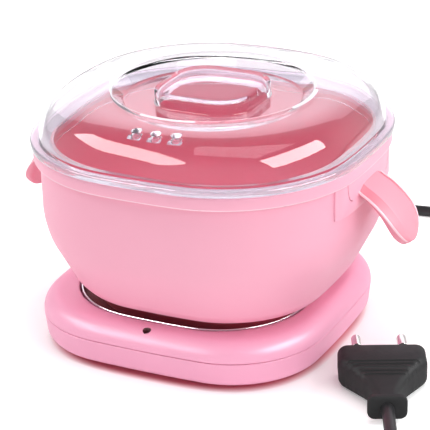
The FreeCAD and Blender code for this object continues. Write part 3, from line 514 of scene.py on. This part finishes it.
cord_line.bevel_depth = cord_diameter / 2 * MM
cord_line.bevel_resolution = 5
cord_line.resolution_u = 8
cord_line.use_fill_caps = True
line = cord_line.splines.new("NURBS")
line.points.add(len(route) - 1)
for point, place in zip(line.points, route):
    point.co = (*(place * MM), 1)
line.order_u = 3
line.use_endpoint_u = True
mains_cord = in_scene("mains_cord", cord_line)
dressed(mains_cord, cord_sheath, "base", "cord_rubber", "cord_rear_run", "cord_coil", "cord_front_run")


# Tie round the put-away coil: a soft black strap with rounded edges and a ribbed face,
# moulded in one with its catch and pushed shut by hand.
tie_low, tie_high = (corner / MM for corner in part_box("coil_tie"))
tie_middle, tie_size = (tie_low + tie_high) / 2, tie_high - tie_low
strap_thick, strap_round, strap_steps = 0.7, 2.2, 10
strap_ribs = [(-0.5, 0.75), (-0.44, 1.0), (-0.3, 1.0), (-0.25, 0.8), (-0.2, 1.0), (-0.05, 1.0), (0, 0.8),
              (0.05, 1.0), (0.2, 1.0), (0.25, 0.8), (0.3, 1.0), (0.44, 1.0), (0.5, 0.75), (0.5, 0.0), (-0.5, 0.0)]


def oblong(width, height, radius, steps):
    """Points round an oblong with round corners."""
    points = []
    for sx, sy, start in ((1, 1, 0), (-1, 1, 1), (-1, -1, 2), (1, -1, 3)):
        for s in range(steps + 1):
            a = (start + s / steps) * math.pi / 2
            points.append((sx * (width / 2 - radius) + radius * math.cos(a),
                           sy * (height / 2 - radius) + radius * math.sin(a)))
    return points


rings = []
for across, out in strap_ribs:
    sunk = strap_thick * (1 - out)
    loop = oblong(tie_size.y - 2 * sunk, tie_size.z - 2 * sunk, strap_round - sunk, strap_steps)
    rings.append([(tie_middle.x + across * tie_size.x, tie_middle.y + y, tie_middle.z + z) for y, z in loop])
coil_strap = ringed("coil_strap", rings, True, 30.0)
dressed(coil_strap, black_phenolic, "base", "black_plastic", "coil_tie")


# Two-pin mains plug: one flat black moulding, square-shouldered at the face, drawn in through
# a ribbed grip to a neck and a collar, with half-sleeved round pins.
plug_width, plug_thick, collar_length, plug_length, plug_front = 35.3, 13.7, 3.0, 38.0, 10.5
plug_face = collar_length + plug_length
plug_heading = Vector(front_route[-1]) - Vector(front_route[-2])
plug_place = (Matrix.Translation(Vector(front_route[-1]) * MM)
              @ Matrix.Rotation(math.atan2(-plug_heading.x, plug_heading.y), 4, "Z"))
collar = [(13.6, 8.4, 0.0), (15.4, 9.8, 0.5), (15.6, 10.0, 1.5), (15.4, 9.8, 2.6), (13.0, 9.0, collar_length)]
taper_length = plug_length - plug_front
taper_shape = [(0.0, 0.25, 0.63), (0.12, 0.27, 0.66), (0.25, 0.33, 0.71), (0.4, 0.43, 0.78), (0.55, 0.56, 0.86),
               (0.7, 0.71, 0.93), (0.85, 0.87, 0.98), (0.96, 0.985, 1.0), (1.0, 1.0, 1.0)]
rib_first, rib_pitch, rib_count, rib_depth = 0.52, 0.085, 5, 1.1
plug_round, plug_steps = 0.3, 7


def plug_ring(width, thick, y):
    """Ring of the plug at a place along it."""
    return [(x, y, z) for x, z in oblong(width, thick, plug_round * thick, plug_steps)]


def stood_on_plug(pins, material, slot, node_name):
    """Stand a pin on the plug's face, set out two and turn them to the plug's heading."""
    placed(pins, at(0, plug_face) @ Matrix.Rotation(-math.pi / 2, 4, "X"))
    in_rows(pins, 2, 1, 0, pin_spacing, 0, material)
    placed(pins, plug_place)
    return dressed(pins, material, "base", slot, node_name)


shares, wides, thicks = zip(*taper_shape)
stations = {share: 0.0 for share in shares}
for i in range(rib_count):
    for off, depth in ((-0.028, 0.0), (-0.02, rib_depth), (0.02, rib_depth), (0.028, 0.0)):
        stations[rib_first + i * rib_pitch + off] = depth
rings = [plug_ring(wide, thick, y) for wide, thick, y in collar]
for share in sorted(stations):
    wide, thick = (float(numpy.interp(share, shares, sizes)) for sizes in (wides, thicks))
    rings.append(plug_ring(plug_width * wide, plug_thick * thick - stations[share],
                           collar_length + 0.05 + share * taper_length))
for less, back in ((0.0, 1.0), (0.6, 0.3), (2.0, 0.0)):
    rings.append(plug_ring(plug_width - less, plug_thick - less, plug_face - back))
plug_moulding = placed(ringed("plug_moulding", rings, crease=34.0), plug_place)
plug_black = moulded("plug_black", (0.014, 0.014, 0.015), (0.01, 0.01, 0.011), 0.62, grain=1400, bump=0.04)
set_shader(plug_black, {"Specular IOR Level": 0.3})
dressed(plug_moulding, plug_black, "base", "black_plastic", "plug_body")
pin_spacing, pin_length, pin_radius, pin_root = 18.6, 19.0, 2.0, -4.0
sleeve_length, sleeve_radius, sleeve_bore, core_radius = 10.0, 1.9, 1.52, 1.5
sleeve_end = sleeve_length - 0.02
nickel = metal("nickel", (0.75, 0.74, 0.72), (0.66, 0.65, 0.63), 0.18)
pin_rods = stood_on_plug(turned("pin_rods", rounded([
    (0.2, pin_root, 0), (core_radius, pin_root, 0), (core_radius, sleeve_length, 0),
    (pin_radius, sleeve_length, 0.15), (pin_radius, pin_length, 1.1), (0.2, pin_length, 0)]), 28),
    nickel, "pin_metal", "plug_pins")
pin_sleeves = stood_on_plug(turned("pin_sleeves", [
    (sleeve_bore, 0), (sleeve_radius, 0), (sleeve_radius, sleeve_length - 0.3), (1.7, sleeve_end),
    (sleeve_bore, sleeve_end)], 28), plug_black, "black_plastic", "plug_pin_sleeves")


# Plate in the pot's bottom: a flat aluminium sheet that the soft foot is moulded round,
# so that heat passes from the dish into the wax.
plate_outline = (39.0, 25.6, 287.0)
plate_low, plate_high = 17.4, 19.4
satin_aluminium = metal("satin_aluminium", (0.7, 0.7, 0.71), (0.6, 0.6, 0.61), 0.34, (1500, 40, 40))
pot_plate = squared_skin("pot_plate", inset_levels(plate_outline, [
    (10, plate_low, 0), (0, plate_low, 0.2), (0, plate_high, 0.2), (10, plate_high, 0)]))
dressed(pot_plate, satin_aluminium, "pot_lower", "plate_aluminium", "pot_heat_plate")


# Pot: one soft silicone moulding, a foot, a slanted band that folds and an upright wall.
# The skin is one piece here. Its inside is painted a deeper pink as painted shade, and the foot,
# down in the dish, a deep red as painted shade.
pot_bow, bow_rate, wall_corner, wall_half, foot_corner, foot_half = 287.0, 0.2, 53.7, 67.3, 31.3, 44.7
corner_rate = (wall_corner - foot_corner) / (wall_half - foot_half)
skin_step = 3.0
inside_low, inside_high, foot_red_top = 19.0, 84.5, 22.6
pot_outside = [(44.7, 17.4, 0.6), (45.2, 22.4, 2.5), (52.3, 25.8, 2.2), (55.3, 28.9, 6), (65.2, 47.8, 26),
               (67.3, 57.2, 30), (67.3, 84.7, 0.2)]
pot_inside = [(65.1, 84.7, 0.2), (65.1, 57.2, 30), (62.9, 47.8, 26), (53.2, 28.9, 6), (50.0, 25.9, 3),
              (42.6, 23.4, 2.5), (42.1, 20.8, 0.8), (36, 20.8, 0.3), (36, 19.45, 0), (39.05, 19.45, 0),
              (39.05, 17.4, 0)]
pot_levels = []
for p in rounded(pot_outside + pot_inside, 8, True):
    inset = wall_half - p.x
    pot_levels.append((p.x, wall_corner - inset * corner_rate, pot_bow - inset * bow_rate, p.y))
fine_levels = []
for (a, b) in zip(pot_levels, pot_levels[1:] + pot_levels[:1]):
    cuts = max(1, int(math.hypot(b[0] - a[0], b[3] - a[3]) / skin_step))
    for c in range(cuts):
        fine_levels.append(tuple(u + (v - u) * c / cuts for u, v in zip(a, b)))
pot_skin = squared_skin("pot_skin", fine_levels, closed=True)
silicone_pink = moulded("silicone_pink", (0.935, 0.43, 0.56), (0.915, 0.405, 0.535), 0.46, grain=600)
# Painted shade: the pot's inside is a deeper pink than its outside, and the foot in the dish is a deep red.
inside_painted_shade = moulded("inside_painted_shade", (0.92, 0.195, 0.305), (0.9, 0.18, 0.285), 0.46, grain=600)
foot_painted_shade = moulded("foot_painted_shade", (0.42, 0.05, 0.08), (0.38, 0.042, 0.07), 0.5, grain=600)
dressed(pot_skin, silicone_pink, None, "pot_silicone", "pot_foot", "pot_fold_band", "pot_wall")
painted(pot_skin, inside_painted_shade, lambda face, z: (
    inside_low < z < inside_high and face.normal.z > -0.2 and (face.normal.z > 0.05 or outward(face) < 0)))
painted(pot_skin, foot_painted_shade, lambda face, z: z < foot_red_top and face.material_index == 0)
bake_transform(pot_skin)


# Rim: a stiff pink plastic band pressed over the top of the soft wall, with a lip inside.
# Its rounded lower edge is painted paler as a painted highlight, a fine bright line round the pot.
rim_outline = (70.0, 56.4, 289.7)
rim_foot, rim_top, lip_under, lip_width, rim_wall, rim_edge = 81.1, 86.8, 84.8, 6.7, 2.6, 0.65
rim_pink = moulded("rim_pink", (0.94, 0.44, 0.57), (0.92, 0.415, 0.545), 0.36)
rim_painted_highlight = moulded("rim_painted_highlight", (1.0, 0.66, 0.75), (0.98, 0.64, 0.73), 0.3)
rim_band = squared_skin("rim_band", inset_levels(rim_outline, [
    (0, rim_foot, 0.7), (0, rim_top, 0.8), (lip_width, rim_top, 0.5), (lip_width, lip_under, 0.3),
    (rim_wall, lip_under, 0.1), (rim_wall, rim_foot, 0.2)], 5, True), closed=True)
dressed(rim_band, rim_pink, "pot_upper", "rim_plastic", "pot_rim")
# Painted highlight: the rim's rounded lower edge gets a paler pink.
painted(rim_band, rim_painted_highlight, lambda face, z: z < rim_foot + rim_edge and outward(face) > 0)


# Ear handles: a broad tongue that droops from a thin plate, which hooks under the rim and lies on
# the wall between two latch slits. A parting bead with a painted highlight runs round the tongue, just under
# its crowned face; painted shade darkens the slope beside the bead towards the wall, and the tongue below the
# rim's pink.
ear_half_width, ear_thick, ear_tip = 13.2, 5.0, 52.6
ear_radius, ear_axis_x, ear_axis_z = 37.3, 53.4, 41.3
ear_root = 67.6
plate_half_width, plate_foot, plate_top = 28.2, 67.6, 81.1
plate_outline_in, plate_outline_out = (67.4, 53.8, 287.1), (69.2, 55.6, 288.9)
ear_face = [(0.0, -1.0), (0.3, -0.95), (0.5, -0.8), (0.6, -0.6), (0.7, -0.1), (0.8, 0.5), (0.87, 0.9),
            (0.893, 1.2), (0.908, 0.85), (0.935, 0.6), (0.965, 0.64), (0.99, 0.9), (1.0, 1.25)]
slope_first, bead_first, bead_last = 3, 8, 11
ear_under = [(0.985, 1.35), (0.93, 1.95), (0.84, 2.7), (0.7, 3.5), (0.5, 4.2), (0.25, 4.6), (0.0, 4.7)]
tip_under = [(1.0, 1.9), (1.0, 2.8), (0.985, 3.6), (0.93, 4.2), (0.72, 4.6), (0.4, 4.8), (0.0, 4.85)]
# Painted shade: the tongue is a deeper pink than the rim's plastic of the same moulding.
ear_shaded_pink = moulded("ear_shaded_pink", (0.9, 0.335, 0.425), (0.88, 0.315, 0.405), 0.5)
# Painted highlight: the parting bead is a paler pink.
ear_bead_highlight = moulded("ear_bead_highlight", (1.0, 0.62, 0.7), (0.98, 0.6, 0.68), 0.3)
# Painted shade: the slope beside the bead turns darker towards the wall.
ear_slope_painted_shade = moulded("ear_slope_painted_shade", (0.72, 0.18, 0.255), (0.9, 0.335, 0.425), 0.55)
slope_light, slope_dark = 57.0, 71.0
tree = ear_slope_painted_shade.node_tree
ear_place = tree.nodes.new("ShaderNodeTexCoord").outputs["Object"]
ear_height = wired(tree, "ShaderNodeSeparateXYZ", {"Vector": ear_place}).outputs["Z"]
rootward = wired(tree, "ShaderNodeMapRange", {
    "Value": ear_height, "From Min": slope_light * MM, "From Max": slope_dark * MM})
feed(tree, tree.nodes["Mix"], {0: rootward})


def wall_x(outline, y):
    """How far out an outline lies on the handle side, at a place across it."""
    half, corner, bow = outline
    side, middle, turn = arcs_of(half, corner, bow)
    if abs(y) < bow * math.sin(turn):
        return side + math.sqrt(bow * bow - y * y)
    return middle + math.sqrt(corner * corner - (abs(y) - middle) ** 2)


def ear_mesh(side):
    """Tongue as rings across its length: crowned face, parting bead and an underside tucked in."""
    first = math.asin((ear_root - ear_axis_x) / ear_radius)
    rounding = math.acos((ear_tip + ear_half_width - ear_axis_z) / ear_radius)
    last = math.acos((ear_tip - ear_axis_z) / ear_radius)
    root_steps, tip_steps = 20, 26
    turns = [first + (rounding - first) * i / root_steps for i in range(root_steps)]
    turns += [rounding + (last - rounding) * math.sin(i / tip_steps * math.pi / 2) for i in range(tip_steps + 1)]
    rings = []
    flare_length, flare_size, tip_droop, tip_ease = 4.5, 0.9, 1.0, 0.75
    root_slim, slim_run, thick_run, least_width = 0.7, 14.0, 26.0, 0.4
    for turn in turns:
        sine, cosine = math.sin(turn), math.cos(turn)
        below = max(0.0, ear_tip + ear_half_width - (ear_axis_z + ear_radius * cosine))
        tipward = min(1.0, below / ear_half_width)
        run = ear_radius * (turn - first)
        width = max(least_width, math.sqrt(max(0.0, ear_half_width ** 2 - below ** 2)))
        width -= root_slim * max(0.0, 1 - run / slim_run)
        flare = flare_size * max(0.0, 1 - run / flare_length) ** 2
        crowned = 1 - tipward ** 2
        thickened = min(1.0, run / thick_run) ** 1.5
        face_radius = ear_radius + flare - tip_ease * tipward ** 4
        half_ring = [(across * width, face_radius - depth * (crowned if depth < 0 else 1), 0.0)
                     for across, depth in ear_face]
        for (a0, d0), (a1, d1) in zip(ear_under, tip_under):
            across, depth = a0 + (a1 - a0) * thickened, d0 + (d1 - d0) * thickened
            droop = tip_droop * tipward ** 3 * depth / ear_thick
            half_ring.append((across * width, ear_radius - depth - flare, droop))
        ring = half_ring + [(-y, r, droop) for y, r, droop in half_ring[-2:0:-1]]
        rings.append([(side * (ear_axis_x + r * sine + droop * cosine), y, ear_axis_z + r * cosine - droop * sine)
                      for y, r, droop in ring])
    return ringed("ear", rings, crease=34.0)


def plate_mesh(side):
    """Thin plate on the wall with its free edges eased."""
    mesh = bmesh.new()
    columns, rows = 36, 8
    end_ease, edge_ease = 1.25, 0.5
    outer, inner = [], []
    for r in range(rows + 1):
        z = plate_foot + (plate_top - plate_foot) * r / rows
        for c in range(columns + 1):
            y = plate_half_width * (2 * c / columns - 1)
            ease = end_ease if c in (0, columns) else edge_ease if c in (1, columns - 1) or r == 0 else 0.0
            outer.append(mesh.verts.new((side * (wall_x(plate_outline_out, y) - ease) * MM, y * MM, z * MM)))
            inner.append(mesh.verts.new((side * wall_x(plate_outline_in, y) * MM, y * MM, z * MM)))
    wide = columns + 1
    for layer in (outer, inner):
        for r in range(rows):
            for c in range(columns):
                i = r * wide + c
                mesh.faces.new((layer[i], layer[i + 1], layer[i + wide + 1], layer[i + wide]))
    edge = (list(range(wide)) + [r * wide + columns for r in range(1, rows + 1)]
            + [rows * wide + c for c in range(columns - 1, -1, -1)] + [r * wide for r in range(rows - 1, 0, -1)])
    for i, j in zip(edge, edge[1:] + edge[:1]):
        mesh.faces.new((outer[i], outer[j], inner[j], inner[i]))
    return finished("plate", mesh, 50.0)


def slit_mesh(side, hand):
    """Cutter for a latch slit: down from the rim beside the tongue, then bent towards it."""
    slit_width, slit_deep, slit_out = 0.45, 67.65, 70.5
    slit_line = [(21.9, 82.0), (21.6, 78.4), (20.9, 75.4), (19.8, 73.6), (17.9, 72.9)]
    rings = []
    for i, place in enumerate(slit_line):
        before, after = Vector(slit_line[max(0, i - 1)]), Vector(slit_line[min(len(slit_line) - 1, i + 1)])
        aside = (after - before).normalized().orthogonal() * slit_width / 2
        low, high = Vector(place) - aside, Vector(place) + aside
        rings.append([(side * x, hand * p.x, p.y)
                      for x, p in ((slit_deep, low), (slit_out, low), (slit_out, high), (slit_deep, high))])
    return ringed("slit", rings)


def round_step(face, plate_faces):
    """Place of a tongue's face round its ring, from crown to underside; -1 on the plate."""
    round_count = 2 * (len(ear_face) + len(ear_under)) - 2
    step = (face.index - plate_faces) % round_count
    return -1 if face.index < plate_faces else min(step, round_count - 1 - step)


for side, piece_name, node_name in ((1, "right_ear", "right_handle"), (-1, "left_ear", "left_handle")):
    plate = plate_mesh(side)
    for hand in (-1, 1):
        cut_out(plate, slit_mesh(side, hand))
    tongue = ear_mesh(side)
    joined = bmesh.new()
    joined.from_mesh(plate.data)
    plate_faces = len(joined.faces)
    joined.from_mesh(tongue.data)
    for part in (plate, tongue):
        bpy.data.objects.remove(part)
    handle = finished(piece_name, joined, 34.0)
    dressed(handle, ear_shaded_pink, "pot_upper", "rim_plastic", node_name)
    painted(handle, rim_pink, lambda face, z: round_step(face, plate_faces) < 0)
    painted(handle, ear_bead_highlight, lambda face, z: bead_first <= round_step(face, plate_faces) <= bead_last)
    painted(handle, ear_slope_painted_shade, lambda face, z: slope_first <= round_step(face, plate_faces) < bead_first)


# Lid: one clear hard-plastic moulding that rests on the rim. A flange and a locating skirt, a full
# dome, a round ridge, a sunk dish with a hollow grip, and three vents at the front.
# Seen edge-on it is greyer; the flange, the vents and the grip have tints of their own, and the ridge's top is
# painted whiter as a painted highlight.
lid_top, lid_foot, flange_top, lid_wall = 105.8, 86.95, 89.7, 2.0
flange_outline, flange_inner = (70.95, 57.35, 287.0), 40.0
skirt_outline, skirt_foot, skirt_wall = (62.7, 49.1, 287.0), 83.2, 1.6
dome_start, dome_corner, dome_bow = 67.75, 53.7, 287.0
crown, crown_ease, dish_ease = 43.2, 0.5, 0.35
dome_profile = [(0.0, 0.0), (0.02, 0.17), (0.05, 0.38), (0.1, 0.57), (0.15, 0.70), (0.2, 0.795), (0.27, 0.885),
                (0.35, 0.94), (0.45, 0.973), (0.58, 0.992), (0.75, 1.0), (0.97, 1.0)]
grip_outline = (21.5, 14.0, 287.0)
sunk_floor, grip_top = 101.2, 107.4
sunk_under, grip_under, ridge_under = sunk_floor - lid_wall, grip_top - lid_wall, lid_top - lid_wall
vent_ring, vent_step, vent_shift, vent_reach, vent_low = 56.8, 8.4, 3.0, 2.6, 100.0
vent_profile = [(2.3, 90), (2.3, 103.2), (1.9, 103.7), (1.9, 104.75), (2.5, 105.8)]
ridge_inner, ridge_outer, ridge_low = 40.8, 42.7, 105.2
grip_reach, grip_low = 26.0, 106.2


def dome_levels(inset):
    """Outlines up the dome, from the flange's square to the round crown."""
    levels = []
    rise = lid_top - inset - flange_top
    for inward, upward in dome_profile:
        half = dome_start + (crown - dome_start) * inward
        corner = inward * (crown - crown_ease) + (1 - inward) * dome_corner
        bow = 1 / (inward / (crown + crown_ease) + (1 - inward) / dome_bow)
        levels.append((half - inset, corner - inset, bow - inset, flange_top + rise * upward))
    return levels


def round_levels(corners):
    """Outlines that are all but round, from (radius, height, rounding)."""
    return [(p.x, p.x - dish_ease, p.x + dish_ease, p.y) for p in rounded(corners)]


def on_edge(face, z):
    """True on the walls of the vents and on the outside of the flange."""
    if z > vent_low:
        return any(in_bore(face, place, vent_reach) for place in vent_places)
    out = max(abs(face.center.x), abs(face.center.y)) / MM
    return lid_foot - 0.01 < z < flange_top + 0.01 and out > flange_inner


outside = inset_levels(grip_outline, [
    (6, grip_top, 0), (0, grip_top, 2.0), (0, sunk_floor, 0.8), (-3, sunk_floor, 0)])
outside += round_levels([
    (30, sunk_floor, 0), (36.5, sunk_floor, 2.0), (41.6, lid_top + 0.25, 0.9), (43.4, lid_top, 0)])
outside += dome_levels(0)[-2::-1]
outside += inset_levels(flange_outline, [
    (3.1, flange_top, 0), (0, flange_top, 0.9), (0, lid_foot, 0.4), (8.3, lid_foot, 0)], 5)[1:]
inside = inset_levels(skirt_outline, [
    (0, lid_foot, 0), (0, skirt_foot, 0.4), (skirt_wall, skirt_foot, 0.4), (skirt_wall, 88.6, 0)], 4)
inside += dome_levels(lid_wall)[:-1]
inside += round_levels([(41.8, ridge_under, 0), (37.2, sunk_under, 1.0), (30, sunk_under, 0)])
inside += inset_levels(grip_outline, [
    (-3, sunk_under, 0), (2, sunk_under, 0.8), (2, grip_under, 1.4), (6, grip_under, 0)])
clear_lid = squared_skin("clear_lid", outside + inside, crease=30.0)
vent_places = []
for i in (-1, 0, 1):
    turn = (i * vent_step + vent_shift) / vent_ring
    vent_places.append(Vector((vent_ring * math.sin(turn), -vent_ring * math.cos(turn))) * MM)
    vent = turned("vent", vent_profile, 32)
    cut_out(clear_lid, placed(vent, Matrix.Translation(vent_places[-1].to_3d())))
clear_tint, edge_tint = (0.955, 0.935, 0.975, 1), (0.5, 0.48, 0.54, 1)
clear_plastic = bpy.data.materials.new("clear_plastic")
clear_plastic.use_nodes = True
tree = clear_plastic.node_tree
haze = wired(tree, "ShaderNodeGroup", {"Grain Scale": 30.0}, node_tree=moulded_surface)
flow = wired(tree, "ShaderNodeBump", {"Height": haze.outputs["Height"], "Strength": 0.06, "Distance": 0.0004})
set_shader(clear_plastic, {
    "Base Color": clear_tint, "Transmission Weight": 1.0, "IOR": 1.13, "Roughness": 0.012, "Normal": flow,
    "Coat Weight": 1.0, "Coat Roughness": 0.02, "Coat IOR": 1.5})
dressed(clear_lid, clear_plastic, "lid", "lid_clear", "lid")
for name, values, chosen in (
        ("clear_edge", {"Base Color": (0.84, 0.79, 0.9, 1), "IOR": 1.3, "Transmission Weight": 0.75}, on_edge),
        # Painted highlight: the ridge's top faces are whiter and less clear.
        ("ridge_painted_highlight", {"Base Color": (0.97, 0.93, 0.99, 1), "Transmission Weight": 0.3, "Roughness": 0.2},
         lambda face, z: (ridge_inner < face.center.xy.length / MM < ridge_outer and z > ridge_low
                          and face.normal.z > 0)),
        ("clear_grip", {"Base Color": (0.86, 0.64, 0.76, 1), "Coat Weight": 0.2},
         lambda face, z: z > grip_low and face.center.xy.length / MM < grip_reach)):
    finish = clear_plastic.copy()
    finish.name = name
    set_shader(finish, values)
    painted(clear_lid, finish, chosen)
edge_on = wired(tree, "ShaderNodeLayerWeight", {"Blend": 0.5}).outputs["Facing"]
edge_band = wired(tree, "ShaderNodeMapRange", {"Value": edge_on, "From Min": 0.7, "From Max": 0.96})
tinted = wired(tree, "ShaderNodeMix", {0: edge_band, 6: clear_tint, 7: edge_tint}, data_type="RGBA")
set_shader(clear_plastic, {"Base Color": tinted.outputs[2]})


# Studio floor and room: plain white, with a painted contact shadow of dark red just under the base, where the thin
# contact line shows.
# The room is bright to the eye and through the lid, dimmer as light and fading upwards in reflections.
shadow_near, shadow_far, shadow_dim, shadow_bright = 0.075, 0.125, 0.12, 0.5
# Painted shadow: the floor turns dark red just under the base's edge.
contact_inner, contact_outer, contact_painted_shadow = 0.0575, 0.0635, (0.85, 0.24, 0.31, 1)
squareness = 3.0
floor_mesh = bpy.data.meshes.new("floor")
floor_mesh.from_pydata([(-4, -4, 0), (4, -4, 0), (4, 4, 0), (-4, 4, 0)], [], [(0, 1, 2, 3)])
floor = in_scene("floor", floor_mesh)
floor_white = bpy.data.materials.new("floor_white")
floor_white.use_nodes = True
tree = floor_white.node_tree
looked_at = tree.nodes.new("ShaderNodeLightPath").outputs["Is Camera Ray"]
place = tree.nodes.new("ShaderNodeTexCoord").outputs["Object"]
away = wired(tree, "ShaderNodeVectorMath", {0: place}, operation="LENGTH").outputs["Value"]
fade = wired(tree, "ShaderNodeMapRange", {
    "Value": away, "From Min": shadow_near, "From Max": shadow_far, "To Min": shadow_dim, "To Max": shadow_bright})
centred = wired(tree, "ShaderNodeVectorMath", {0: place, 1: (-base_middle * MM, 0, 0)}, operation="ADD")
sides = wired(tree, "ShaderNodeSeparateXYZ", {"Vector": centred}).outputs
powers = {}
for i, axis in enumerate("XY"):
    size = wired(tree, "ShaderNodeMath", {0: sides[axis]}, operation="ABSOLUTE")
    powers[i] = wired(tree, "ShaderNodeMath", {0: size, 1: squareness}, operation="POWER")
summed = wired(tree, "ShaderNodeMath", powers, operation="ADD")
from_base = wired(tree, "ShaderNodeMath", {0: summed, 1: 1 / squareness}, operation="POWER")
clear_of_base = wired(tree, "ShaderNodeMapRange", {
    "Value": from_base, "From Min": contact_inner, "From Max": contact_outer}, interpolation_type="SMOOTHSTEP")
tint = wired(tree, "ShaderNodeMix", {0: clear_of_base, 6: contact_painted_shadow, 7: (0.95, 0.95, 0.95, 1)}, data_type="RGBA")
bright = wired(tree, "ShaderNodeMath", {0: fade, 1: clear_of_base}, operation="MULTIPLY")
lift = wired(tree, "ShaderNodeMath", {0: looked_at, 1: bright}, operation="MULTIPLY")
set_shader(floor_white, {"Base Color": tint.outputs[2], "Roughness": 0.9, "Emission Color": (1, 1, 1, 1),
                         "Emission Strength": lift})
floor_mesh.materials.append(floor_white)

world = bpy.data.worlds.new("studio")
bpy.context.scene.world = world
world.use_nodes = True
tree = world.node_tree
room_light = 0.48
rays = tree.nodes.new("ShaderNodeLightPath").outputs
shown = wired(tree, "ShaderNodeMath", {
    0: rays["Is Camera Ray"], 1: rays["Is Transmission Ray"]}, operation="MAXIMUM")
way = tree.nodes.new("ShaderNodeTexCoord").outputs["Generated"]
height = wired(tree, "ShaderNodeSeparateXYZ", {"Vector": way}).outputs["Z"]
mirrored = wired(tree, "ShaderNodeMapRange", {
    "Value": height, "From Min": 0.35, "From Max": 0.8, "To Min": 0.7, "To Max": 0.12})
unseen = wired(tree, "ShaderNodeMix", {0: rays["Is Glossy Ray"], 2: room_light, 3: mirrored})
level = wired(tree, "ShaderNodeMix", {0: shown, 2: unseen, 3: 1.0})
feed(tree, tree.nodes["Background"], {"Color": (1, 1, 1, 1), "Strength": level})


# Studio lamps and camera: soft boxes light the pieces and are not mirrored in them; two glints and a lilac
# veil show only as reflections, in the lid most of all. The camera stands at the photo's angle.
def towards(azimuth, elevation):
    """Way out from the pot; azimuth is counted from the front towards the right handle."""
    a, e = math.radians(azimuth), math.radians(elevation)
    return Vector((math.sin(a) * math.cos(e), -math.cos(a) * math.cos(e), math.sin(e)))


def soft_box(name, azimuth, elevation, distance, size, power):
    """Area lamp aimed at the pot."""
    lamp = bpy.data.lights.new(name, "AREA")
    lamp.shape = "RECTANGLE"
    lamp.size, lamp.size_y = size
    lamp.energy = power
    holder = in_scene(name, lamp)
    way = towards(azimuth, elevation)
    holder.location = way * distance + Vector((0, 0, lamp_aim))
    holder.rotation_euler = way.to_track_quat("Z", "Y").to_euler()
    return holder


lamp_aim, box_distance, glint_distance = 0.06, 1.4, 1.3
white, lilac = (1, 1, 1), (1.0, 0.8, 0.95)
for name, azimuth, elevation, size, power in (
        ("left_box", -74, 42, (0.9, 0.75), 7), ("right_box", 74, 30, (0.7, 0.6), 5.8),
        ("right_fill", 125, 32, (0.9, 0.7), 5), ("top_fill", 100, 84, (1, 1), 8)):
    box = soft_box(name, azimuth, elevation, box_distance, size, power)
    box.visible_glossy = False
    box.visible_transmission = name == "top_fill"
for name, azimuth, elevation, roll, size, power, colour in (
        ("left_glint", -46, 36, -17, (1.42, 0.46), 21, white), ("right_glint", 90, 36, 0, (1.25, 0.55), 28, white),
        ("back_veil", 203, 28, 0, (1.75, 0.62), 4.2, lilac)):
    glint = soft_box(name, azimuth, elevation, glint_distance, size, power)
    glint.rotation_euler.rotate_axis("Z", math.radians(roll))
    glint.data.color = colour
    glint.visible_camera = glint.visible_diffuse = glint.visible_transmission = False

view_back, view_roll = towards(26.142, 23.064), math.radians(-1.49)
view_target, view_distance = Vector((-1.998, 3.082, 47.143)) * MM, 0.80102
focal_pixels, picture_pixels = 1899.7, 430
eye = bpy.data.cameras.new("camera")
eye.sensor_width = 36.0
eye.lens = focal_pixels / picture_pixels * eye.sensor_width
eye.clip_start = 0.05
camera = in_scene("camera", eye)
camera.matrix_world = (Matrix.Translation(view_target + view_back * view_distance)
                       @ view_back.to_track_quat("Z", "Y").to_matrix().to_4x4()
                       @ Matrix.Rotation(view_roll, 4, "Z"))
bpy.context.scene.camera = camera
bpy.context.scene.view_settings.view_transform = "Standard"
